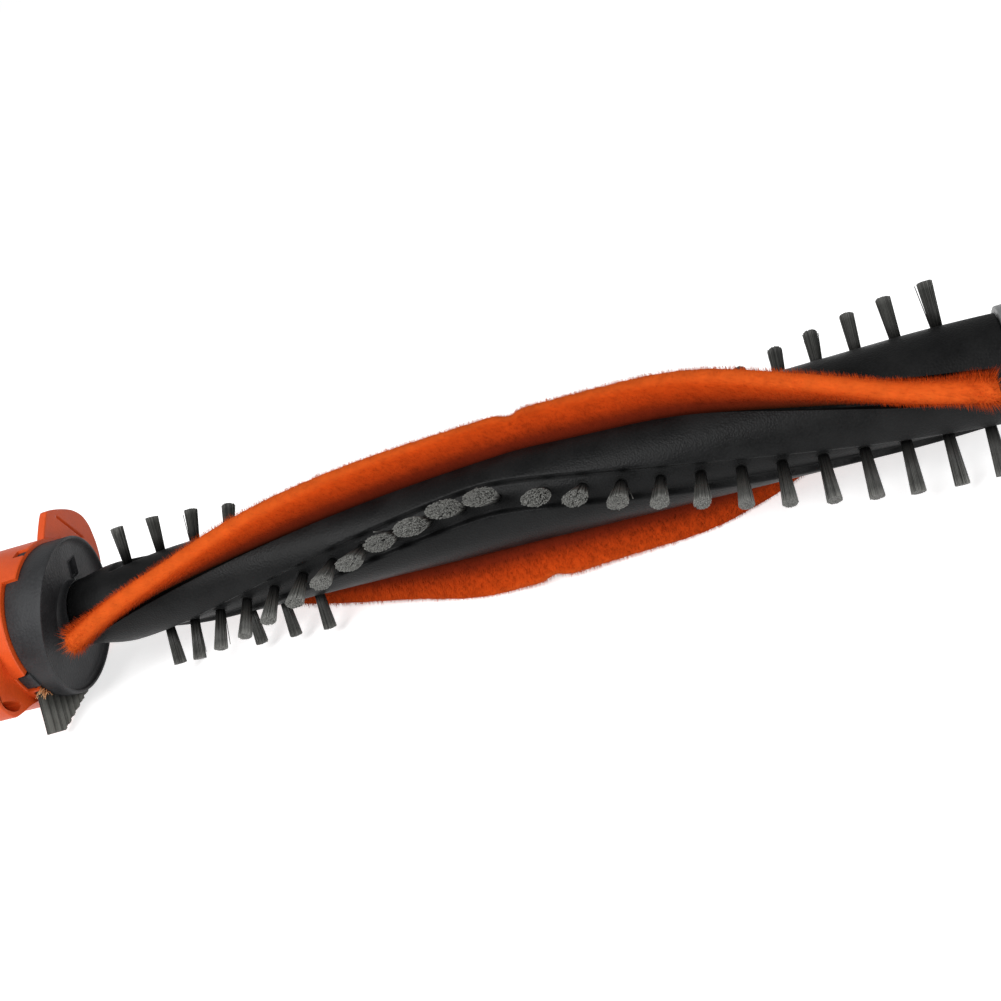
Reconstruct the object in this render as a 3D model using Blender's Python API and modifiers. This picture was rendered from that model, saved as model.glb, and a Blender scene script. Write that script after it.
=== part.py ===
"""Vacuum roller brush, modelled lying on a floor with its axis along X.

The roller is a slightly tapered moulded core with two V shaped pile strips,
two V shaped rows of bristle tufts and one short row. Its narrow end turns in
a clip-in end cap with an ear, a lug, an edge brush and a bearing bush. Its wide
end carries a light ring and a drive socket.

Stations along the axis are measured from the point of the V, positive
towards the drive end. Clock angles are measured about the axis, from the
front (towards -Y), positive upwards.
"""
import math

import bmesh
import bpy
from mathutils import Matrix, Vector

MM = 0.001
DEG = math.pi / 180.0
HALF = 0.5

# Placing of the roller in its own frame
AXIS_HEIGHT = 23.35 * MM
APEX_X = 21.5 * MM
AXIS_Y = -0.17 * MM

# Taper and radii at the point of the V
TAPER_PER_METRE = 0.695
LAND_RADIUS = 12.9 * MM
CHANNEL_RADIUS = 11.3 * MM
PILE_SEAT_RADIUS = 11.3 * MM
PILE_TIP_RADIUS = 22.8 * MM
TUFT_TIP_RADIUS = 23.5 * MM

# Core
CORE_START = -139.8 * MM
CORE_END = 119.2 * MM
BORE_RADIUS = 6.6 * MM
CHANNEL_START = -125.0 * MM
CHANNEL_END = 118.0 * MM
CHANNEL_HALF_WIDTH = 4.4 * MM
CHANNEL_FLOOR_HALF_WIDTH = 3.6 * MM
SLOT_HALF_WIDTH = 2.2 * MM
SLOT_FLOOR_HALF_WIDTH = 1.75 * MM
SLOT_DEPTH = 1.9 * MM
PILE_SEAT_START = -138.1 * MM
PILE_SEAT_HALF_WIDTH = 4.05 * MM
PILE_SEAT_FLOOR_HALF_WIDTH = 3.5 * MM
END_STEP = 0.5 * MM
CORE_SECTION_PITCH = 8.7 * MM
LAND_SHORT_COUNT = 3
LAND_LONG_COUNT = 5

# Lines of the V, in degrees and metres: value, slope and bend of each arm
ROW_LEFT = (45.7, 359.0, -4686.0)
ROW_RIGHT = (36.3, -782.5, 0.0)
ROW_ROUNDING = 4.0
PILE_LEFT = (117.0, 346.5, -2950.0)
PILE_RIGHT = (118.0, -830.0, 0.0)
PILE_ROUNDING = 2.0
OPPOSITE = math.pi / DEG

# Bristle tufts
TUFT_PITCH = 9.87 * MM
ROW_A_LEFT_FIRST = -115.0 * MM
ROW_A_LEFT_COUNT = 12
ROW_A_RIGHT_FIRST = 6.4 * MM
ROW_A_RIGHT_COUNT = 12
ROW_B_LEFT_FIRST = -121.5 * MM
ROW_B_LEFT_COUNT = 13
ROW_B_RIGHT_FIRST = 10.4 * MM
ROW_B_RIGHT_COUNT = 11
TUFT_ROOT_HALF_LENGTH = 1.4 * MM
TUFT_ROOT_HALF_WIDTH = 1.35 * MM
TUFT_TIP_HALF_LENGTH = 1.8 * MM
TUFT_TIP_HALF_WIDTH = 1.55 * MM
BACKING_HALF_WIDTH = 1.35 * MM
BACKING_HEIGHT = 1.5 * MM
BACKING_OVERHANG = 1.1 * MM
FIT_GAP = 0.3 * MM

# Short row beside the front pile strip at the narrow end
SHORT_ROW_ANGLE = 115.0
SHORT_ROW_FIRST = -89.3 * MM
SHORT_ROW_PITCH = 10.9 * MM
SHORT_ROW_COUNT = 3
SHORT_SLOT_DEPTH = 2.0 * MM

# Pile strips
PILE_START = -137.6 * MM
PILE_END = 116.9 * MM
PILE_SECTION_PITCH = 8.6 * MM
PILE_ROOT_HALF_WIDTH = 3.1 * MM
PILE_WAIST_HALF_WIDTH = 3.4 * MM
PILE_BELLY_HALF_WIDTH = 4.0 * MM
PILE_SHOULDER_HALF_WIDTH = 2.9 * MM
PILE_WAIST_RISE = 1.8 * MM
PILE_BELLY_DROP = 3.2 * MM
PILE_SHOULDER_DROP = 0.8 * MM

# End plate, turned
ROUND_COUNT = 48
SMALL_ROUND_COUNT = 28
CAP_RADIUS = 24.2 * MM
CAP_WALL = 2.2 * MM
CAP_INNER_RADIUS = CAP_RADIUS - CAP_WALL
PLATE_RIM_RADIUS = CAP_RADIUS - 1.3 * MM
PLATE_SPIGOT_RADIUS = CAP_INNER_RADIUS - 0.4 * MM
PLATE_SPIGOT_INNER = PLATE_SPIGOT_RADIUS - 1.5 * MM
PLATE_NECK_RADIUS = 11.5 * MM
PLATE_NECK_INNER = 9.6 * MM
PLATE_NECK_FRONT = -140.1 * MM
PLATE_NECK_EDGE = 0.3 * MM
PLATE_RIM = -143.3 * MM
PLATE_DISH_DEPTH = 1.6 * MM
PLATE_WEB = 2.2 * MM
PLATE_FOOT = 1.3 * MM
PLATE_LIP = 0.9 * MM
PLATE_BACK = -150.9 * MM
PLATE_SPIGOT_END = -156.0 * MM
PLATE_LEAN = 0.251
PLATE_LEAN_ANGLE = 87.7

# End cap, turned
CAP_LIP = -151.3 * MM
CAP_END = -170.0 * MM
CAP_FLOOR = -167.0 * MM
CAP_CORNER = 3.0 * MM
BOSS_RADIUS = 9.3 * MM
BOSS_FRONT = -144.7 * MM
BUSH_SEAT_RADIUS = 7.8 * MM
BUSH_SEAT_END = -153.5 * MM
CLIP_POCKET_RADIUS = 7.0 * MM
CLIP_POCKET_END = -161.0 * MM

# Tongue of the cap in the plate, and hook of the plate in the cap
TONGUE_ANGLES = (70.0, 192.0)
TONGUE_FRONT = -146.8 * MM
HOOK_ANGLES = (-13.0, 0.0)
HOOK_END = -154.4 * MM
HOOK_ROOT = -150.0 * MM
HOOK_RADIUS = 23.7 * MM
HOOK_INNER_RADIUS = 21.0 * MM
SIDE_GAP_DEG = 1.0

# Ear and lug of the cap: radius in millimetres and clock angle in degrees
WING_ROOT_RADIUS = 23.25 * MM
EAR_OUTLINE = ((23.7, 122.0), (31.5, 130.0), (33.3, 133.0), (34.6, 144.0),
               (36.2, 153.0), (36.8, 160.0), (35.8, 166.0), (34.0, 171.0),
               (32.3, 176.0), (30.0, 182.0), (27.3, 188.0), (23.7, 194.0))
EAR_FRONT = -147.6 * MM
EAR_BACK = -150.2 * MM
EAR_GROOVE = ((28.3, 145.0), (30.6, 146.0), (31.6, 155.0), (29.6, 155.0))
EAR_GROOVE_DEPTH = 0.9 * MM
LUG_OUTLINE = ((23.7, -30.0), (26.5, -22.0), (31.0, -15.0), (33.3, -11.0),
               (34.2, -5.0), (34.4, 1.0), (33.0, 10.0), (29.5, 17.0),
               (23.7, 23.0))
LUG_FRONT = -155.4 * MM
LUG_BACK = -164.5 * MM
LUG_POCKET = ((28.3, -11.0), (30.2, -12.2), (32.1, -9.0), (33.1, -4.6),
              (33.1, -0.9), (31.5, -2.0))
LUG_POCKET_DEPTH = 5.0 * MM
WALL_SLOT_ANGLE = 100.0
WALL_SLOT_FRONT = -148.4 * MM
WALL_SLOT_BACK = -154.2 * MM
WALL_SLOT_WIDTH = 2.6 * MM
WALL_SLOT_FLOOR = 22.9 * MM

# Window in the plate
WINDOW_ANGLE = 128.0
WINDOW_RADIUS = 16.0 * MM
WINDOW_UPRIGHT = 105.0
WINDOW_SIZE = (3.0 * MM, 4.4 * MM)
WINDOW_FRAME = 0.9 * MM
WINDOW_FRAME_DEPTH = 0.7 * MM

# Edge brush: a comb of parallel bristles that stand straight in one direction
BRUSH_ANGLES = (-81.0, -17.0)
BRUSH_FRONT = -151.25 * MM
BRUSH_BACK = -153.35 * MM
BRUSH_ROOT_RADIUS = 22.35 * MM
BRUSH_LEAN = 34.0
BRUSH_REACH_FRONT = 31.3 * MM
BRUSH_REACH_TOP = 31.8 * MM
BRUSH_REACH_REAR = 20.9 * MM
BRUSH_SIDE_FRONT = 15.6 * MM
BRUSH_SIDE_TOP = 8.4 * MM
BRUSH_SIDE_REAR = -9.4 * MM
BRUSH_FLUTES = 10
BRUSH_FLUTES_FULL = 3

# Stub axle, washer, bush and clip
AXLE_PLUG_RADIUS = 6.3 * MM
AXLE_PLUG_END = -112.0 * MM
AXLE_COLLAR_RADIUS = 8.4 * MM
AXLE_COLLAR_START = -141.7 * MM
AXLE_COLLAR_END = -140.1 * MM
AXLE_RADIUS = 4.0 * MM
AXLE_END = -159.0 * MM
AXLE_CHAMFER = 0.6 * MM
GROOVE_RADIUS = 3.3 * MM
GROOVE_FRONT = -155.2 * MM
GROOVE_BACK = -156.5 * MM
WASHER_FRONT = -142.0 * MM
WASHER_BACK = -143.0 * MM
WASHER_RADIUS = 8.1 * MM
BUSH_FLANGE_FRONT = -143.3 * MM
BUSH_FLANGE_BACK = -144.4 * MM
BUSH_FLANGE_RADIUS = 8.8 * MM
BUSH_RADIUS = 7.5 * MM
BUSH_END = -153.1 * MM
CLIP_INNER = 3.6 * MM
CLIP_OUTER = 6.3 * MM
CLIP_FRONT = -155.5 * MM
CLIP_BACK = -156.2 * MM
CLIP_WASHER_FRONT = -153.7 * MM
CLIP_WASHER_BACK = -154.9 * MM
CLIP_WASHER_RADIUS = 6.5 * MM
CLIP_MOUTH_DEG = 70.0
CLIP_STEPS = 20

# Drive end
RING_RADIUS = 14.7 * MM
RING_INNER = 12.4 * MM
RING_START = 119.5 * MM
RING_END = 127.0 * MM
RING_EDGE = 0.7 * MM
SOCKET_PLUG_RADIUS = 6.3 * MM
SOCKET_PLUG_START = 98.0 * MM
SOCKET_FLANGE_START = 119.5 * MM
SOCKET_FLANGE_END = 124.6 * MM
SOCKET_FLANGE_RADIUS = 12.1 * MM
SOCKET_HOLE_RADIUS = 4.6 * MM
SOCKET_HOLE_DEPTH = 18.0 * MM
SOCKET_HOLE_SIDES = 6

# Cutters reach past what they cut
OVERCUT = 1.0 * MM
BIG_CUT = 60.0 * MM
WELD = 0.00001
SMOOTH_ANGLE = 35.0 * DEG


def taper(station):
    """Share of the size at the point of the V."""
    return 1.0 + TAPER_PER_METRE * station


def arm(station, line):
    """Clock angle on one arm of a V line, in degrees."""
    value, slope, bend = line
    inward = min(station, 0.0)
    return value + slope * station + bend * inward * inward


def v_line(station, left, right, rounding):
    """Clock angle of a V line whose point is rounded, in degrees."""
    low = arm(station, left)
    high = arm(station, right)
    floor = min(low, high)
    total = math.exp((floor - low) / rounding)
    total += math.exp((floor - high) / rounding)
    return floor - rounding * math.log(total)


def row_line(station):
    return v_line(station, ROW_LEFT, ROW_RIGHT, ROW_ROUNDING)


def pile_line(station):
    return v_line(station, PILE_LEFT, PILE_RIGHT, PILE_ROUNDING)


def on_roller(station, radius, angle):
    """Point at a station, a radius and a clock angle in degrees."""
    return Vector((APEX_X + station,
                   AXIS_Y - radius * math.cos(angle * DEG),
                   AXIS_HEIGHT + radius * math.sin(angle * DEG)))


def beside(centre, offset, radius):
    """Clock angle a given arc away from a centre line, in degrees."""
    return centre + offset / radius / DEG


def material(name, colour, roughness, metallic=0.0):
    made = bpy.data.materials.new(name)
    made.use_nodes = True
    shader = made.node_tree.nodes["Principled BSDF"]
    shader.inputs["Base Color"].default_value = (*colour, 1.0)
    shader.inputs["Roughness"].default_value = roughness
    shader.inputs["Metallic"].default_value = metallic
    made.diffuse_color = (*colour, 1.0)
    return made


def joint_origin(station):
    return on_roller(station, 0.0, 0.0)


def finish(name, mesh, look, collection, origin):
    """Put a mesh, made in the roller's frame, on an object with its origin."""
    mesh.transform(Matrix.Translation(-origin))
    mesh.materials.clear()
    if look is not None:
        mesh.materials.append(look)
    mesh.shade_smooth()
    mesh.set_sharp_from_angle(angle=SMOOTH_ANGLE)
    thing = bpy.data.objects.new(name, mesh)
    thing.location = origin
    collection.objects.link(thing)
    return thing


def to_mesh(bm, name):
    bmesh.ops.recalc_face_normals(bm, faces=bm.faces)
    mesh = bpy.data.meshes.new(name)
    bm.to_mesh(mesh)
    bm.free()
    return mesh


def loft(rings, name, closed_loop=False):
    """Skin a row of rings of equal count, capped or closed on itself."""
    bm = bmesh.new()
    rows = [[bm.verts.new(point) for point in ring] for ring in rings]
    pairs = list(zip(rows, rows[1:]))
    if closed_loop:
        pairs.append((rows[-1], rows[0]))
    for first, second in pairs:
        count = len(first)
        for index in range(count):
            following = (index + 1) % count
            bm.faces.new((first[index], first[following],
                          second[following], second[index]))
    if not closed_loop:
        bm.faces.new(rows[0])
        bm.faces.new(list(reversed(rows[-1])))
    return bm


def turned(name, profile, steps, look, collection, origin):
    """Turn a profile of (station, radius) points about the roller's axis."""
    mesh = bpy.data.meshes.new(name)
    bm = bmesh.new()
    verts = [bm.verts.new((station, 0.0, radius)) for station, radius in profile]
    closed = profile[0][1] > 0.0
    links = list(zip(verts, verts[1:]))
    if closed:
        links.append((verts[-1], verts[0]))
    for first, second in links:
        bm.edges.new((first, second))
    bm.to_mesh(mesh)
    bm.free()
    guide = bpy.data.objects.new(name + "_profile", mesh)
    collection.objects.link(guide)
    screw = guide.modifiers.new("turn", "SCREW")
    screw.axis = "X"
    screw.steps = steps
    screw.render_steps = steps
    screw.use_merge_vertices = True
    screw.merge_threshold = WELD
    done = evaluated_mesh(guide)
    bpy.data.objects.remove(guide, do_unlink=True)
    bm = bmesh.new()
    bm.from_mesh(done)
    bpy.data.meshes.remove(done)
    bmesh.ops.remove_doubles(bm, verts=bm.verts, dist=WELD)
    bmesh.ops.translate(bm, verts=bm.verts, vec=joint_origin(0.0))
    return finish(name, to_mesh(bm, name), look, collection, origin)


def evaluated_mesh(thing):
    bpy.context.view_layer.update()
    graph = bpy.context.evaluated_depsgraph_get()
    return bpy.data.meshes.new_from_object(thing.evaluated_get(graph))


def prism(name, outline, front, back, look, collection, origin):
    """Flat outline of (radius, angle) points, drawn out along the axis."""
    bm = bmesh.new()
    verts = [bm.verts.new(on_roller(back, radius, angle))
             for radius, angle in outline]
    face = bm.faces.new(verts)
    made = bmesh.ops.extrude_face_region(bm, geom=[face])
    moved = [item for item in made["geom"]
             if isinstance(item, bmesh.types.BMVert)]
    bmesh.ops.translate(bm, verts=moved, vec=(front - back, 0.0, 0.0))
    return finish(name, to_mesh(bm, name), look, collection, origin)


def sector(name, inner, outer, angles, front, back, collection, steps=8):
    """Block bounded by two radii and two clock angles."""
    start, end = angles
    shares = [step / steps for step in range(steps + 1)]
    outline = [(outer, start + (end - start) * share) for share in shares]
    outline += [(inner, end + (start - end) * share) for share in shares]
    return prism(name, outline, front, back, None, collection,
                 joint_origin(0.0))


def with_arc_root(outline, radius, steps=8):
    """Close a wing's outline along an arc, for a root that hugs a round."""
    start = outline[-1][1]
    end = outline[0][1]
    arc = [(radius, start + (end - start) * step / steps)
           for step in range(steps + 1)]
    return [(size * MM, angle) for size, angle in outline] + arc


def block(name, centre, size, turn, collection):
    """Box turned about the axis direction by a clock angle."""
    bm = bmesh.new()
    bmesh.ops.create_cube(bm, size=1.0)
    bmesh.ops.scale(bm, verts=bm.verts, vec=size)
    bmesh.ops.rotate(bm, verts=bm.verts, cent=(0.0, 0.0, 0.0),
                     matrix=Matrix.Rotation(turn * DEG, 3, "X"))
    bmesh.ops.translate(bm, verts=bm.verts, vec=centre)
    return finish(name, to_mesh(bm, name), None, collection,
                  joint_origin(0.0))


def combine(target, tool, operation):
    """Keep a boolean on the target, and hide its tool as a guide."""
    change = target.modifiers.new(tool.name, "BOOLEAN")
    change.object = tool
    change.operation = operation
    change.solver = "EXACT"
    tool.hide_render = True
    tool.display_type = "WIRE"


def settle(thing, look):
    """Replace a shape by its evaluated mesh, welded and smooth."""
    mesh = evaluated_mesh(thing)
    bm = bmesh.new()
    bm.from_mesh(mesh)
    bpy.data.meshes.remove(mesh)
    bmesh.ops.remove_doubles(bm, verts=bm.verts, dist=WELD)
    bmesh.ops.dissolve_degenerate(bm, edges=bm.edges, dist=WELD)
    thing.modifiers.clear()
    old = thing.data
    thing.data = to_mesh(bm, thing.name)
    bpy.data.meshes.remove(old)
    thing.data.materials.append(look)
    thing.data.shade_smooth()
    thing.data.set_sharp_from_angle(angle=SMOOTH_ANGLE)


def core_half_ring(station, turn, channels, seats):
    """One half of the core's section, from a tuft channel to the next."""
    size = taper(station)
    land = LAND_RADIUS * size
    floor = land + (CHANNEL_RADIUS * size - land) * channels
    slot = floor - SLOT_DEPTH * channels
    seat = land + (PILE_SEAT_RADIUS * size - land) * seats
    row = row_line(station) + turn
    pile = pile_line(station) + turn
    points = []
    for side in (-1.0, 1.0):
        pairs = ((CHANNEL_HALF_WIDTH, land),
                 (CHANNEL_FLOOR_HALF_WIDTH, floor),
                 (SLOT_HALF_WIDTH, floor),
                 (SLOT_FLOOR_HALF_WIDTH, slot))
        if side > 0.0:
            pairs = tuple(reversed(pairs))
        for width, radius in pairs:
            points.append((beside(row, side * width, radius), radius))
    seat_edge = beside(0.0, PILE_SEAT_HALF_WIDTH, land)
    seat_foot = beside(0.0, PILE_SEAT_FLOOR_HALF_WIDTH, seat)
    row_edge = beside(0.0, CHANNEL_HALF_WIDTH, land)
    points += land_arc(row + row_edge, pile - seat_edge, land,
                       LAND_SHORT_COUNT)
    points += [(pile - seat_edge, land), (pile - seat_foot, seat),
               (pile, seat * math.cos(seat_foot * DEG)),
               (pile + seat_foot, seat),
               (pile + seat_edge, land)]
    next_row = row + OPPOSITE
    points += land_arc(pile + seat_edge, next_row - row_edge, land,
                       LAND_LONG_COUNT)
    return points


def land_arc(start, end, radius, count):
    """Points strictly between two angles."""
    step = (end - start) / (count + 1)
    return [(start + step * (index + 1), radius) for index in range(count)]


def core_stations():
    """Stations of the core's sections, with the cut-ins of the seats."""
    found = [(CORE_START, 0.0, 0.0),
             (PILE_SEAT_START - END_STEP, 0.0, 0.0),
             (PILE_SEAT_START, 0.0, 1.0),
             (CHANNEL_START - END_STEP, 0.0, 1.0)]
    before = math.ceil(-CHANNEL_START / CORE_SECTION_PITCH)
    for index in range(before):
        share = index / before
        found.append((CHANNEL_START * (1.0 - share), 1.0, 1.0))
    after = math.ceil(CHANNEL_END / CORE_SECTION_PITCH)
    for index in range(after + 1):
        found.append((CHANNEL_END * index / after, 1.0, 1.0))
    found.append((CHANNEL_END + END_STEP, 0.0, 0.0))
    found.append((CORE_END, 0.0, 0.0))
    return found


def make_core(look, collection, cutters, origin):
    rings = []
    for station, channels, seats in core_stations():
        section = core_half_ring(station, 0.0, channels, seats)
        section += core_half_ring(station, OPPOSITE, channels, seats)
        rings.append([on_roller(station, radius, angle)
                      for angle, radius in section])
    first = [on_roller(CORE_START, BORE_RADIUS, angle) for angle, radius in
             core_ring_angles(CORE_START)]
    last = [on_roller(CORE_END, BORE_RADIUS, angle) for angle, radius in
            core_ring_angles(CORE_END)]
    rings += [last, first]
    bm = loft(rings, "roller_core", closed_loop=True)
    core = finish("roller_core", to_mesh(bm, "roller_core"), look,
                  collection, origin)
    combine(core, short_slot("short_slot", OPPOSITE, cutters), "DIFFERENCE")
    settle(core, look)
    return core


def core_ring_angles(station):
    section = core_half_ring(station, 0.0, 0.0, 0.0)
    return section + core_half_ring(station, OPPOSITE, 0.0, 0.0)


def short_slot(name, turn, collection):
    angle = SHORT_ROW_ANGLE + turn
    span = SHORT_ROW_PITCH * (SHORT_ROW_COUNT - 1)
    middle = SHORT_ROW_FIRST + span * HALF
    length = span + (TUFT_ROOT_HALF_LENGTH + BACKING_OVERHANG + FIT_GAP) * 2
    top = LAND_RADIUS + OVERCUT
    bottom = short_floor()
    centre = on_roller(middle, (top + bottom) * HALF, angle)
    size = (length, SLOT_HALF_WIDTH * 2, top - bottom)
    return block(name, centre, size, OPPOSITE * HALF - angle, collection)


def short_floor():
    """Radius of the floor of a short row's slot, on the narrow side."""
    return LAND_RADIUS * taper(SHORT_ROW_FIRST) - SHORT_SLOT_DEPTH


def bristle_row(name, stations, line, floor_radius, look, collection, origin):
    """Backing bar in its slot with one flared tuft at each station."""
    sections = []
    ends = (stations[0] - TUFT_ROOT_HALF_LENGTH - BACKING_OVERHANG,
            stations[-1] + TUFT_ROOT_HALF_LENGTH + BACKING_OVERHANG)
    marks = [ends[0]]
    for station in stations:
        marks += [station - TUFT_ROOT_HALF_LENGTH,
                  station + TUFT_ROOT_HALF_LENGTH]
    marks.append(ends[1])
    for mark in marks:
        bottom = floor_radius(mark) + FIT_GAP
        top = bottom + BACKING_HEIGHT
        centre = line(mark)
        sections.append([
            on_roller(mark, bottom, beside(centre, -BACKING_HALF_WIDTH, bottom)),
            on_roller(mark, bottom, beside(centre, BACKING_HALF_WIDTH, bottom)),
            on_roller(mark, top, beside(centre, TUFT_ROOT_HALF_WIDTH, top)),
            on_roller(mark, top, beside(centre, -TUFT_ROOT_HALF_WIDTH, top))])
    bm = loft(sections, name)
    bmesh.ops.recalc_face_normals(bm, faces=bm.faces)
    for station in stations:
        grow_tuft(bm, station, line(station), sections, marks)
    return finish(name, to_mesh(bm, name), look, collection, origin)


def grow_tuft(bm, station, centre, sections, marks):
    """Draw the top face at a station out to the tuft's flared tip."""
    near = marks.index(station - TUFT_ROOT_HALF_LENGTH)
    corners = [sections[near][2], sections[near][3],
               sections[near + 1][2], sections[near + 1][3]]
    middle = sum(corners, Vector()) / len(corners)
    bm.faces.ensure_lookup_table()
    top = min(bm.faces, key=lambda face:
              (face.calc_center_median() - middle).length)
    made = bmesh.ops.extrude_discrete_faces(bm, faces=[top])
    tip_radius = TUFT_TIP_RADIUS * taper(station)
    for vert in made["faces"][0].verts:
        along = 1.0 if vert.co.x - APEX_X > station else -1.0
        spot = vert.co - on_roller(vert.co.x - APEX_X, 0.0, 0.0)
        angle = math.atan2(spot.z, -spot.y) / DEG
        turn = (angle - centre + OPPOSITE) % (OPPOSITE * 2) - OPPOSITE
        across = 1.0 if turn > 0.0 else -1.0
        vert.co = on_roller(
            station + along * TUFT_TIP_HALF_LENGTH, tip_radius,
            beside(centre, across * TUFT_TIP_HALF_WIDTH, tip_radius))


def channel_floor(station):
    return CHANNEL_RADIUS * taper(station) - SLOT_DEPTH


def tuft_stations(first, count, pitch):
    return [first + pitch * index for index in range(count)]


def pile_strip(name, start, end, turn, look, collection, origin):
    """Length of pile with a narrow root, a full belly and a round crown."""
    parts = max(1, round((end - start) / PILE_SECTION_PITCH))
    rings = []
    for index in range(parts + 1):
        station = start + (end - start) * index / parts
        size = taper(station)
        root = PILE_SEAT_RADIUS * size + FIT_GAP
        tip = PILE_TIP_RADIUS * size
        side = ((PILE_ROOT_HALF_WIDTH, root),
                (PILE_WAIST_HALF_WIDTH, root + PILE_WAIST_RISE),
                (PILE_BELLY_HALF_WIDTH, tip - PILE_BELLY_DROP),
                (PILE_SHOULDER_HALF_WIDTH, tip - PILE_SHOULDER_DROP))
        centre = pile_line(station) + turn
        ring = [on_roller(station, radius, beside(centre, -width, radius))
                for width, radius in side]
        ring.append(on_roller(station, tip, centre))
        ring += [on_roller(station, radius, beside(centre, width, radius))
                 for width, radius in reversed(side)]
        rings.append(ring)
    bm = loft(rings, name)
    return finish(name, to_mesh(bm, name), look, collection, origin)


def lean(mesh, radius_inside):
    """Shear the plate's web and rim, so that its face leans over."""
    for vert in mesh.vertices:
        station = vert.co.x - APEX_X
        side = on_roller(0.0, 1.0, PLATE_LEAN_ANGLE) - on_roller(0.0, 0.0, 0.0)
        spot = vert.co - on_roller(station, 0.0, 0.0)
        on_neck = spot.length < radius_inside
        front = station > PLATE_BACK + FIT_GAP
        if front and not (on_neck and station > PLATE_RIM):
            vert.co.x += PLATE_LEAN * spot.dot(side)


def make_plate(look, collection, cutters, origin):
    """Dish with a leaning face and rim, an upright neck and a spigot."""
    face = PLATE_RIM - PLATE_DISH_DEPTH
    web = face - PLATE_WEB
    profile = (
        (web, PLATE_NECK_INNER),
        (PLATE_NECK_FRONT, PLATE_NECK_INNER),
        (PLATE_NECK_FRONT, PLATE_NECK_RADIUS - PLATE_NECK_EDGE),
        (PLATE_NECK_FRONT - PLATE_NECK_EDGE, PLATE_NECK_RADIUS),
        (face + PLATE_FOOT, PLATE_NECK_RADIUS + WELD * 2),
        (face + PLATE_NECK_EDGE, PLATE_NECK_RADIUS + PLATE_NECK_EDGE * 2),
        (face, PLATE_NECK_RADIUS + PLATE_FOOT),
        (face, PLATE_RIM_RADIUS - PLATE_LIP * 2.4),
        (face + PLATE_NECK_EDGE, PLATE_RIM_RADIUS - PLATE_LIP * 1.5),
        (PLATE_RIM - PLATE_NECK_EDGE, PLATE_RIM_RADIUS - PLATE_LIP),
        (PLATE_RIM, PLATE_RIM_RADIUS - PLATE_LIP * HALF),
        (PLATE_RIM - PLATE_NECK_EDGE, PLATE_RIM_RADIUS),
        (PLATE_BACK, PLATE_RIM_RADIUS),
        (PLATE_BACK, PLATE_SPIGOT_RADIUS),
        (PLATE_SPIGOT_END, PLATE_SPIGOT_RADIUS),
        (PLATE_SPIGOT_END, PLATE_SPIGOT_INNER),
        (web, PLATE_SPIGOT_INNER))
    plate = turned("end_plate", profile, ROUND_COUNT, look, collection,
                   joint_origin(0.0))
    plate.data.transform(Matrix.Translation(joint_origin(0.0)))
    lean(plate.data, PLATE_NECK_RADIUS + WELD)
    plate.data.transform(Matrix.Translation(-origin))
    plate.location = origin
    hook = sector("hook", HOOK_INNER_RADIUS, HOOK_RADIUS, HOOK_ANGLES,
                  HOOK_ROOT, HOOK_END, cutters, 3)
    combine(plate, hook, "UNION")
    wide = (TONGUE_ANGLES[0] - SIDE_GAP_DEG, TONGUE_ANGLES[1] + SIDE_GAP_DEG)
    notch = sector("tongue_notch", PLATE_SPIGOT_RADIUS + WELD, CAP_RADIUS + OVERCUT,
                   wide, TONGUE_FRONT + FIT_GAP, PLATE_BACK - FIT_GAP, cutters)
    combine(plate, notch, "DIFFERENCE")
    rise = PLATE_LEAN * WINDOW_RADIUS * math.cos(
        (WINDOW_ANGLE - PLATE_LEAN_ANGLE) * DEG)
    place = on_roller(face + rise, WINDOW_RADIUS, WINDOW_ANGLE)
    turn = OPPOSITE * HALF - WINDOW_UPRIGHT
    wide_size = (WINDOW_SIZE[0] + WINDOW_FRAME * 2,
                 WINDOW_SIZE[1] + WINDOW_FRAME * 2)
    frame = block("window_frame", place + Vector((BIG_CUT * HALF
                                                  - WINDOW_FRAME_DEPTH, 0.0, 0.0)),
                  (BIG_CUT, wide_size[0], wide_size[1]), turn, cutters)
    combine(plate, frame, "DIFFERENCE")
    hole = block("window_hole", place,
                 (BIG_CUT * HALF, WINDOW_SIZE[0], WINDOW_SIZE[1]), turn,
                 cutters)
    hole.location.x -= WINDOW_FRAME_DEPTH
    combine(plate, hole, "DIFFERENCE")
    settle(plate, look)
    return plate


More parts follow.
